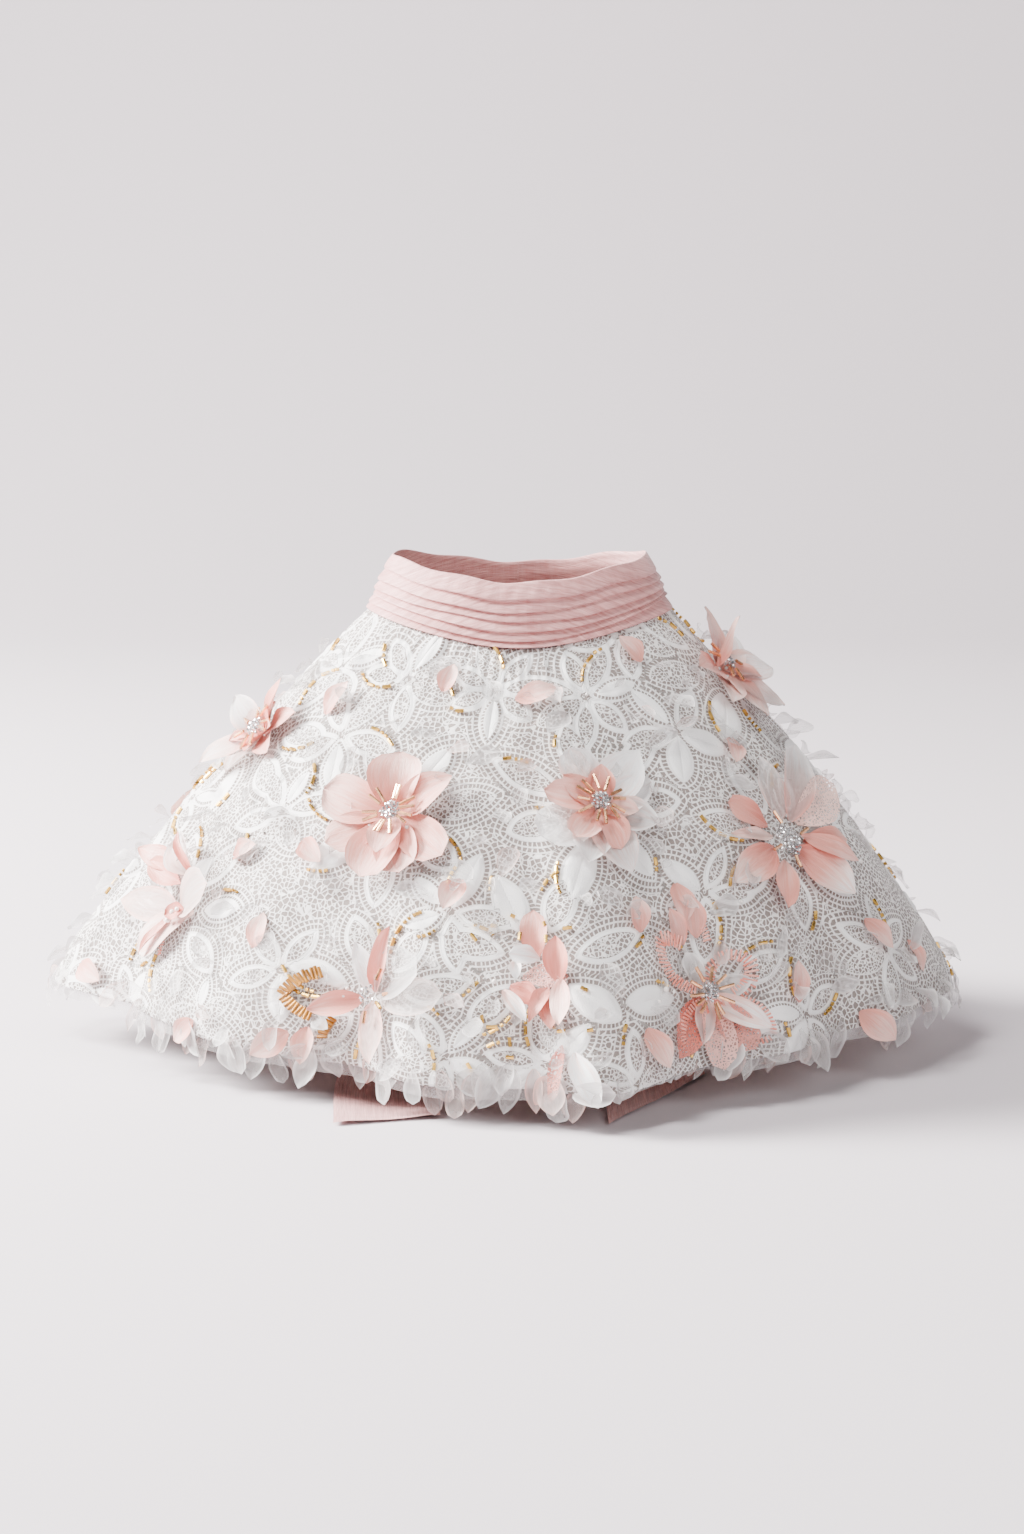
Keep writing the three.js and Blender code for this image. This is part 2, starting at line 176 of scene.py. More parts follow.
def setCamera():
    data = bpy.data.cameras.new("camera")
    data.lens = studio["lens"]
    data.sensor_width = 36
    data.clip_end = 50
    camera = bpy.data.objects.new("camera", data)
    camera.location = Vector(studio["cameraPlace"]) * mm
    camera.rotation_euler = (math.radians(90 - studio["lookDown"]), 0, 0)
    bpy.context.scene.collection.objects.link(camera)
    bpy.context.scene.camera = camera


setCamera()
print("camera set")


# Shader helpers
def newMaterial(name, color, roughness, **sockets):
    material = bpy.data.materials.new(name)
    material.use_nodes = True
    shader = material.node_tree.nodes["Principled BSDF"]
    shader.inputs["Base Color"].default_value = (*color, 1)
    shader.inputs["Roughness"].default_value = roughness
    for socket, value in sockets.items():
        shader.inputs[socket.replace("_", " ")].default_value = value
    return material, material.node_tree, shader


def put(tree, kind, inputs=None, **settings):
    node = tree.nodes.new(kind)
    for key, value in settings.items():
        setattr(node, key, value)
    for key, value in (inputs or {}).items():
        if isinstance(value, bpy.types.NodeSocket):
            tree.links.new(value, node.inputs[key])
        else:
            node.inputs[key].default_value = value
    return node


def groupNode(tree, group, inputs):
    return put(tree, "ShaderNodeGroup", inputs, node_tree=group)


def objectPlace(tree):
    return put(tree, "ShaderNodeTexCoord").outputs["Object"]


def feed(tree, value, shader, socket="Base Color"):
    tree.links.new(value, shader.inputs[socket])


def softNoise(tree, scale):
    return put(tree, "ShaderNodeTexNoise", {
        "Vector": objectPlace(tree), "Scale": scale, "Detail": 1.0}).outputs[0]


def sums(tree, operation, first, second=0.0, third=0.0):
    node = put(tree, "ShaderNodeMath", {0: first, 1: second, 2: third}, operation=operation)
    return node.outputs[0]


def ramp(tree, value, low, high, start=0.0, end=1.0):
    node = put(tree, "ShaderNodeMapRange", {
        "Value": value, "From Min": low, "From Max": high, "To Min": start, "To Max": end},
        interpolation_type="SMOOTHSTEP")
    return node.outputs["Result"]


def blendColor(tree, share, first, second):
    first, second = (
        color if isinstance(color, bpy.types.NodeSocket) else (*color, 1) for color in (first, second))
    node = put(tree, "ShaderNodeMix", {0: share, 6: first, 7: second}, data_type="RGBA")
    return node.outputs[2]


def attribute(tree, name):
    return put(tree, "ShaderNodeAttribute", attribute_name=name)


def bumpInto(tree, shader, height, distance, strength=1.0):
    bump = put(tree, "ShaderNodeBump", {
        "Height": height, "Distance": distance * mm, "Strength": strength})
    feed(tree, bump.outputs[0], shader, "Normal")


def newGroup(name, inputs, outputs):
    group = bpy.data.node_groups.new(name, "ShaderNodeTree")
    for label, kind, value in inputs:
        socket = group.interface.new_socket(label, in_out="INPUT", socket_type=kind)
        if value is not None:
            socket.default_value = value
    for label, kind in outputs:
        group.interface.new_socket(label, in_out="OUTPUT", socket_type=kind)
    return group, group.nodes.new("NodeGroupInput"), group.nodes.new("NodeGroupOutput")


def buildNetGroup():  # an irregular net of threads: 1 on a thread, 0 in a hole
    group, give, take = newGroup(
        "threadNet",
        [("Vector", "NodeSocketVector", None), ("Mesh", "NodeSocketFloat", 2.7),
         ("Thread", "NodeSocketFloat", 0.16)],
        [("Mask", "NodeSocketFloat"), ("Round", "NodeSocketFloat")])
    scale = sums(group, "DIVIDE", 1000.0, give.outputs["Mesh"])
    cells = put(group, "ShaderNodeTexVoronoi", {
        "Vector": give.outputs["Vector"], "Scale": scale}, feature="DISTANCE_TO_EDGE")
    share = sums(group, "DIVIDE", cells.outputs["Distance"], give.outputs["Thread"])
    group.links.new(ramp(group, share, 1.25, 0.75), take.inputs["Mask"])
    group.links.new(ramp(group, share, 1.5, 0.0), take.inputs["Round"])
    return group


def buildWeaveGroup():  # fine fibre streaks and cloudy tone on sheer and silk cloth
    group, give, take = newGroup(
        "clothGrain",
        [("Vector", "NodeSocketVector", None), ("Stretch", "NodeSocketVector", (1, 1, 1)),
         ("Fine", "NodeSocketFloat", 900.0), ("Cloud", "NodeSocketFloat", 60.0)],
        [("Fibre", "NodeSocketFloat"), ("Tone", "NodeSocketFloat")])
    mapped = put(group, "ShaderNodeVectorMath", {
        0: give.outputs["Vector"], 1: give.outputs["Stretch"]}, operation="MULTIPLY").outputs[0]
    fibre = put(group, "ShaderNodeTexNoise", {
        "Vector": mapped, "Scale": give.outputs["Fine"], "Detail": 3.0, "Roughness": 0.6})
    cloud = put(group, "ShaderNodeTexNoise", {
        "Vector": mapped, "Scale": give.outputs["Cloud"], "Detail": 2.0})
    group.links.new(ramp(group, fibre.outputs[0], 0.3, 0.7), take.inputs["Fibre"])
    group.links.new(ramp(group, cloud.outputs[0], 0.3, 0.7), take.inputs["Tone"])
    return group


threadNet = buildNetGroup()
clothGrain = buildWeaveGroup()


def grainedCloth(name, color, tones, roughness, fine, cloud, **sockets):  # cloudy between two tones
    material, tree, shader = newMaterial(name, color, roughness, **sockets)
    grain = groupNode(tree, clothGrain, {"Vector": objectPlace(tree), "Fine": fine, "Cloud": cloud})
    feed(tree, blendColor(tree, grain.outputs["Tone"], *tones), shader)
    bumpInto(tree, shader, grain.outputs["Fibre"], 0.2, 0.5)
    return material, tree, shader, grain


# Mesh helpers
def newObject(bm, name, material, shade=True):
    mesh = bpy.data.meshes.new(name)
    bm.to_mesh(mesh)
    bm.free()
    mesh.materials.append(material)
    mesh.shade_smooth() if shade else mesh.shade_flat()
    thing = bpy.data.objects.new(name, mesh)
    bpy.context.scene.collection.objects.link(thing)
    return thing


def finishPiece(bm, name, material, shade=True):
    piece = newObject(bm, name, material, shade)
    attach(piece, "root")
    return piece


def readCorners(mesh):
    corners = np.empty(len(mesh.vertices) * 3)
    mesh.vertices.foreach_get("co", corners)
    return corners.reshape(-1, 3)


def moveVerts(mesh, place):  # place gives a point in millimetres for each share across and up
    shares = (readCorners(mesh)[:, :2] + 1) / 2
    mesh.vertices.foreach_set("co", (place(shares[:, 0], shares[:, 1]) * mm).ravel())
    mesh.update()
    return shares


def gridPiece(name, across, up, place, material):
    bm = bmesh.new()
    bmesh.ops.create_grid(bm, x_segments=across, y_segments=up, size=1)
    piece = finishPiece(bm, name, material)
    shares = moveVerts(piece.data, place)
    return piece, shares


def storeFloats(mesh, name, values):
    layer = mesh.attributes.new(name, "FLOAT", "POINT")
    layer.data.foreach_set("value", np.asarray(values, np.float32))


def storeVectors(mesh, name, values):
    layer = mesh.attributes.new(name, "FLOAT_VECTOR", "POINT")
    layer.data.foreach_set("vector", values.astype(np.float32).ravel())


# The flowers: angle, drop and radius of each, sewn where the CAD's are
flowerPlaces = [
    {"angle": math.radians(angle), "drop": drop, "radius": radius} for angle, drop, radius in [
        (-28.3, 0.41, 45), (18.4, 0.374, 44), (59.2, 0.539, 49), (-77.9, 0.315, 40),
        (-67.1, 0.735, 47), (78.2, 0.15, 34), (-23, 0.823, 37), (32.1, 0.83, 38), (4.7, 0.711, 33),
        (112, 0.66, 46), (133, 0.34, 40), (152, 0.8, 40), (212, 0.78, 42), (227, 0.32, 38),
        (250, 0.62, 45)]]


def flowerCentre(flower):
    return skirtFace(flower["angle"], flower["drop"])


def flowerSpot(flower):
    return skirtSpot(flower["angle"], flower["drop"])


# The lace: rosettes of leaves on a net, with ladder work between the cords
laceWork = {
    "columns": 420, "rows": 178, "back": 1.7,
    "seed": 11, "apart": 56, "flowerRoom": 30, "tries": 5200, "slope": 310,
    "leafLong": 36, "leafHalf": 8.0, "leafStart": 3.0,
    "ringLong": 44, "ringHalf": 10.5, "ringStart": 22,
    "fills": [(0.0, 0.24), (3.2, 0.5), (20.0, 0.17), (50.0, 0.09)],  # a leaf's filling and its share
    # distances from a leaf's outline, in millimetres: cords are white, ladders have rungs
    "cords": [(0.0, 0.55), (4.1, 0.6), (7.9, 0.45)], "ladders": [(0.4, 3.6), (4.6, 7.5)],
    "rung": 2.6, "netFrom": 8.3, "netMesh": 3.5, "fineMesh": 2.6, "wander": 0.9,
    "thread": (0.95, 0.915, 0.89), "threadShade": (0.83, 0.79, 0.77),
    # the holes and eyelets show the nude backing darkened with painted shade, as it looks in shadow behind
    # the lace
    "shadedHole": (0.245, 0.2, 0.18), "satin": (0.965, 0.95, 0.935),
}


def planLeaves():
    work = laceWork
    rng = np.random.default_rng(work["seed"])
    centres = [flowerCentre(flower) for flower in flowerPlaces]
    rooms = [flower["radius"] + work["flowerRoom"] for flower in flowerPlaces]
    rosettes = [{
        "angle": flower["angle"], "drop": flower["drop"], "count": 7, "long": work["ringLong"],
        "half": work["ringHalf"], "start": work["ringStart"], "turn": rng.uniform(0, 1),
        "flower": True} for flower in flowerPlaces]
    for _ in range(work["tries"]):
        angle = rng.uniform(-math.pi, math.pi)
        drop = rng.uniform(0.0, 1.0) ** 0.75
        here = skirtFace(angle, drop)
        if any(np.linalg.norm(here - centre) < room for centre, room in zip(centres, rooms)):
            continue
        centres.append(here)
        rooms.append(work["apart"])
        size = rng.uniform(0.88, 1.12)
        rosettes.append({
            "angle": angle, "drop": drop, "count": int(rng.integers(5, 8)),
            "long": work["leafLong"] * size, "half": work["leafHalf"] * size,
            "start": work["leafStart"], "turn": rng.uniform(0, tau), "flower": False})
    kinds, shares = zip(*work["fills"])
    for rosette in rosettes:
        fills = rng.choice(kinds, rosette["count"], p=shares)
        rosette["leaves"] = [{
            "heading": rosette["turn"] + tau * index / rosette["count"] + rng.uniform(-0.1, 0.1),
            "fill": fill, "long": rosette["long"] * rng.uniform(0.85, 1.1),
        } for index, fill in enumerate(fills)]
    return rosettes


def leafDistance(across, along, half, long):  # signed distance to a leaf of two arcs, and along it
    reach = long / 2
    radius = (reach * reach + half * half) / (2 * half)
    offset = radius - half
    side, rise = np.abs(across), np.abs(along)
    tip = (rise - reach) * offset > side * reach
    distance = np.where(
        tip, np.hypot(side, rise - reach), np.hypot(side + offset, rise) - radius)
    return distance, radius * np.arctan2(along, side + offset)


def laceField(angle, drop, rosettes):
    count = len(angle)
    field = {"edge": np.full(count, 14.0), "along": np.zeros(count), "fill": np.zeros(count),
             "vein": np.full(count, 9.0)}
    radius = skirtRadius(angle, drop)
    for rosette in rosettes:
        turnBy = np.mod(angle - rosette["angle"] + math.pi, tau) - math.pi
        down = (drop - rosette["drop"]) * laceWork["slope"]
        reach = rosette["start"] + rosette["long"] * 1.15 + 8
        near = np.nonzero((np.abs(down) < reach) & (np.abs(turnBy) * radius < reach))[0]
        if not len(near):
            continue
        across, down = turnBy[near] * radius[near], down[near]
        for leaf in rosette["leaves"]:
            cos, sin = math.cos(leaf["heading"]), math.sin(leaf["heading"])
            along = across * sin + down * cos - rosette["start"] - leaf["long"] / 2
            side = across * cos - down * sin
            distance, arc = leafDistance(side, along, rosette["half"], leaf["long"])
            closer = distance < field["edge"][near]
            hit = near[closer]
            field["edge"][hit] = distance[closer]
            field["along"][hit] = arc[closer]
            field["fill"][hit] = leaf["fill"]
            field["vein"][hit] = np.abs(side[closer])
    return field


def laceMaterial():
    work = laceWork
    material, tree, shader = newMaterial(
        "guipureLace", work["thread"], 0.7, Sheen_Weight=0.25, Sheen_Roughness=0.5)

    def times(first, second):
        return sums(tree, "MULTIPLY", first, second)

    def most(first, second):
        return sums(tree, "MAXIMUM", first, second)

    place = objectPlace(tree)
    stray = sums(tree, "SUBTRACT", softNoise(tree, 190.0), 0.5)
    edge, along, fill, vein = (
        attribute(tree, "lace" + name).outputs["Fac"] for name in ("Edge", "Along", "Fill", "Vein"))
    edge = sums(tree, "MULTIPLY_ADD", stray, work["wander"], edge)
    along = sums(tree, "MULTIPLY_ADD", stray, 3 * work["wander"], along)
    net = groupNode(tree, threadNet, {"Vector": place, "Mesh": work["netMesh"], "Thread": 0.1})
    fine = groupNode(tree, threadNet, {"Vector": place, "Mesh": work["fineMesh"], "Thread": 0.12})
    cords = 0.0
    for middle, half in work["cords"]:
        away = sums(tree, "ABSOLUTE", sums(tree, "SUBTRACT", edge, middle))
        cords = most(cords, ramp(tree, away, half + 0.25, half - 0.1))
    mask = cords
    rungs = ramp(tree, sums(tree, "PINGPONG", along, work["rung"] / 2), 0.8, 1.04)
    for low, high in work["ladders"]:
        band = times(ramp(tree, edge, low - 0.2, low + 0.1), ramp(tree, edge, high + 0.1, high - 0.2))
        mask = most(mask, times(band, rungs))
    ground = ramp(tree, edge, work["netFrom"] - 0.4, work["netFrom"])
    mask = most(mask, times(ground, net.outputs["Mask"]))
    depth = sums(tree, "ADD", edge, fill)
    within = ramp(tree, edge, 0.0, -0.4)
    eyelets = times(ramp(tree, edge, -0.9, -1.2), ramp(tree, edge, -2.9, -2.6))
    eyelets = times(times(eyelets, sums(tree, "COMPARE", fill, 20.0, 8.0)), ramp(tree, rungs, 1.0, 0.0))
    satin = times(times(ramp(tree, depth, 0.0, 0.4), within), ramp(tree, eyelets, 1.0, 0.0))
    inner = times(times(ramp(tree, depth, 0.2, -0.2), within), fine.outputs["Mask"])
    mask = most(most(mask, satin), inner)
    grain = groupNode(tree, clothGrain, {"Vector": place, "Fine": 1400.0, "Cloud": 45.0})
    thread = blendColor(tree, grain.outputs["Tone"], work["threadShade"], work["thread"])
    thread = blendColor(tree, satin, thread, work["satin"])
    # holes and eyelets get painted shade: the backing's colour darkened as if seen in shadow through them
    feed(tree, blendColor(tree, mask, work["shadedHole"], thread), shader)
    feed(tree, ramp(tree, satin, 0.0, 1.0, 0.8, 0.5), shader, "Roughness")
    height = sums(tree, "SUBTRACT", mask, times(ramp(tree, vein, 0.9, 0.1), times(satin, 0.5)))
    height = sums(tree, "MULTIPLY_ADD", cords, 0.5, height)
    height = sums(tree, "MULTIPLY_ADD", grain.outputs["Fibre"], 0.25, height)
    bumpInto(tree, shader, height, 0.7, 0.9)
    return material


def makeLace(name, node, fromDegrees, material, rosettes):
    rows = laceWork["rows"]
    drops = np.concatenate([[1.0], np.linspace(1.0, 0.0, rows + 1), [0.0]])
    outs = np.concatenate([[-laceWork["back"]], np.zeros(rows + 1), [-laceWork["back"]]])
    start = math.radians(fromDegrees)
    kept = {}

    def place(across, up):
        row = np.rint(up * (rows + 2)).astype(int)
        angle, drop = start + math.pi * across, drops[row]
        field = laceField(angle, drop, rosettes)
        inside = smooth(0.2, 2.6, -field["edge"]) * np.clip(field["fill"] / 6, 0.35, 1)
        relief = 1.1 * inside - 0.5 * np.exp(-(field["vein"] / 1.6) ** 2) * inside
        kept.update(field)
        return skirtPoint(angle, drop, outs[row] + relief * (outs[row] == 0))

    piece, _ = gridPiece(name, laceWork["columns"], rows + 2, place, material)
    for key in ("edge", "along", "fill", "vein"):
        storeFloats(piece.data, "lace" + key.capitalize(), kept[key])
    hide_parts(node)
    return piece


rosettes = planLeaves()
guipure = laceMaterial()
laceFront = makeLace("laceFront", "skirt_front", -90, guipure, rosettes)
laceBack = makeLace("laceBack", "skirt_back", 90, guipure, rosettes)
print("lace made,", len(rosettes), "rosettes")


# The organza backing inside the lace
liningCloth = {
    "columns": 120, "rows": 36, "inset": 1.9, "color": (0.36, 0.28, 0.25), "cloud": (0.3, 0.23, 0.205),
}


def makeLining(name, fromDegrees, material):
    def place(across, up):
        angle = math.radians(fromDegrees) + math.pi * (1 - across)
        return skirtPoint(angle, 1 - up, -liningCloth["inset"])

    return gridPiece(name, liningCloth["columns"], liningCloth["rows"], place, material)[0]


backing = grainedCloth(
    "organzaBacking", liningCloth["color"], (liningCloth["cloud"], liningCloth["color"]), 0.7, 1600.0,
    30.0)[0]
liningFront = makeLining("liningFront", -90, backing)
liningBack = makeLining("liningBack", 90, backing)

# Petals: each is a small cupped leaf of cloth, placed by a function that bends it over the skirt
petalCuts = {  # where a cut is widest comes from its two powers: the base's and the tip's
    "leaf": (0.75, 0.85), "round": (0.75, 0.5), "drop": (1.1, 0.55),
}
petalCloth = {
    "across": 6, "along": 9, "claw": 0.1, "crease": 0.5, "fade": 0.9,
    "white": (0.93, 0.91, 0.90), "pale": (0.87, 0.57, 0.50), "blush": (0.78, 0.30, 0.235),
    "coral": (0.60, 0.14, 0.10), "sheer": (0.44, 0.41, 0.4),
}


def placePetal(petal, across, along):
    rise, fall = petalCuts[petal.get("cut", "leaf")]
    peak = rise / (rise + fall)
    width = (along ** rise * (1 - along) ** fall) / (peak ** rise * (1 - peak) ** fall)
    width = np.maximum(width, petalCloth["claw"] * (1 - along) + 0.03)
    side = 2 * across - 1
    steps = np.linspace(0, 1, 41)
    slopes = math.radians(petal["lift"]) + math.radians(petal["curl"]) * steps

    def travel(shares):
        path = np.concatenate([[0], np.cumsum((shares[1:] + shares[:-1]) / 2)]) / (len(steps) - 1)
        return np.interp(along, steps, path) * petal["long"]

    slope = np.interp(along, steps, slopes)
    half = petal["wide"] / 2 * width
    up = petal.get("cup", 2.0) * side ** 2 * np.sin(math.pi * np.clip(along, 0.03, 0.97)) ** 0.7
    up = up - petalCloth["crease"] * np.exp(-(side / 0.16) ** 2) * (1 - along)
    up = up + petal.get("ruffle", 0.0) * np.abs(side) ** 1.5 * np.sin(
        9 * along + 3 * side + petal.get("phase", 0.0))
    twist = math.radians(petal.get("twist", 0)) * along
    up = up + side * half * np.sin(twist)
    out = petal["base"] + travel(np.sin(slopes)) + up * np.cos(slope)
    onward = petal.get("start", 0.0) + travel(np.cos(slopes)) - up * np.sin(slope)
    return petal["place"](
        side * half * np.cos(twist), onward, np.maximum(out, petal.get("least", 0.5)))


def growPetals(name, petals, material):
    cloth = petalCloth
    bm = bmesh.new()
    for _ in petals:
        bmesh.ops.create_grid(bm, x_segments=cloth["across"], y_segments=cloth["along"], size=1)
    piece = finishPiece(bm, name, material)
    mesh = piece.data
    corners = readCorners(mesh).reshape(len(petals), -1, 3)
    shares = (corners[..., :2] + 1) / 2
    tints, sheers, weave = [], [], []
    for index, petal in enumerate(petals):
        across, along = 1 - shares[index, :, 0], shares[index, :, 1]
        corners[index] = placePetal(petal, across, along) * mm
        tints.append(mix(*petal["tint"], smooth(0.0, cloth["fade"], along)))
        rim = np.maximum(np.abs(2 * across - 1), along) ** 6
        sheers.append(np.clip(petal["solid"] + 0.3 * rim, 0, 1))
        weave.append(np.stack([
            (across - 0.5) * petal["wide"], along * petal["long"],
            np.full(len(along), 13.7 * index)], -1))
    mesh.vertices.foreach_set("co", corners.ravel())
    mesh.update()
    storeFloats(mesh, "petalTint", np.concatenate(tints))
    storeFloats(mesh, "petalSolid", np.concatenate(sheers))
    storeVectors(mesh, "petalWeave", np.concatenate(weave))
    return piece


def petalMaterial(name, roughness, sheen, thin):
    cloth = petalCloth
    material, tree, shader = newMaterial(
        name, cloth["blush"], roughness, Sheen_Weight=sheen, Sheen_Roughness=0.35)
    tint = attribute(tree, "petalTint").outputs["Fac"]
    solid = attribute(tree, "petalSolid").outputs["Fac"]
    weave = attribute(tree, "petalWeave").outputs["Vector"]
    grain = groupNode(tree, clothGrain, {
        "Vector": weave, "Stretch": (1.6, 0.14, 1.0), "Fine": 1.1, "Cloud": 0.35})
    shade = sums(tree, "MULTIPLY_ADD", sums(tree, "SUBTRACT", grain.outputs["Tone"], 0.5), 0.16, tint)
    color = blendColor(tree, ramp(tree, shade, 0.0, 0.3), cloth["white"], cloth["pale"])
    color = blendColor(tree, ramp(tree, shade, 0.25, 0.62), color, cloth["blush"])
    color = blendColor(tree, ramp(tree, shade, 0.6, 1.05), color, cloth["coral"])
    color = blendColor(tree, ramp(tree, solid, 0.95, 0.3, 0.0, 0.8), color, cloth["sheer"])
    feed(tree, color, shader)
    cover = sums(tree, "MULTIPLY_ADD", grain.outputs["Fibre"], thin, solid)
    feed(tree, sums(tree, "MINIMUM", cover, 1.0), shader, "Alpha")
    bumpInto(tree, shader, grain.outputs["Fibre"], 0.25, 0.6)
    return material


def netMaterial():  # petals of knitted net: open between their threads
    material, tree, shader = newMaterial("netPetal", petalCloth["blush"], 0.6, Sheen_Weight=0.2)
    tint = attribute(tree, "petalTint").outputs["Fac"]
    net = groupNode(tree, threadNet, {"Vector": objectPlace(tree), "Mesh": 2.1, "Thread": 0.2})
    shade = ramp(tree, tint, 0.2, 0.7)
    feed(tree, blendColor(tree, shade, petalCloth["pale"], petalCloth["coral"]), shader)
    feed(tree, ramp(tree, net.outputs["Mask"], 0.0, 1.0, 0.28, 1.0), shader, "Alpha")
    bumpInto(tree, shader, net.outputs["Round"], 0.4, 0.8)
    return material


silkPetal = petalMaterial("silkPetal", 0.42, 0.35, 0.12)
organzaPetal = petalMaterial("organzaPetal", 0.5, 0.2, 0.1)
netPetal = netMaterial()

# The flowers' petals: heading, length and width, lift and curl in degrees, tints at base and tip, how
# solid, and what is special: "at" moves a petal across and down from the flower's centre
blooms = {"seed": 5, "jitter": 2, "scaleFrom": 44, "slope": 290}


def petalAt(turn, long, wide, lift, curl, near, far, solid, **more):
    return dict(
        turn=turn, long=long, wide=wide, lift=lift, curl=curl, tint=(near, far), solid=solid, **more)


def ringOf(count, turn, *rest, **more):
    return [petalAt(turn + 360 / count * index, *rest, **more) for index in range(count)]


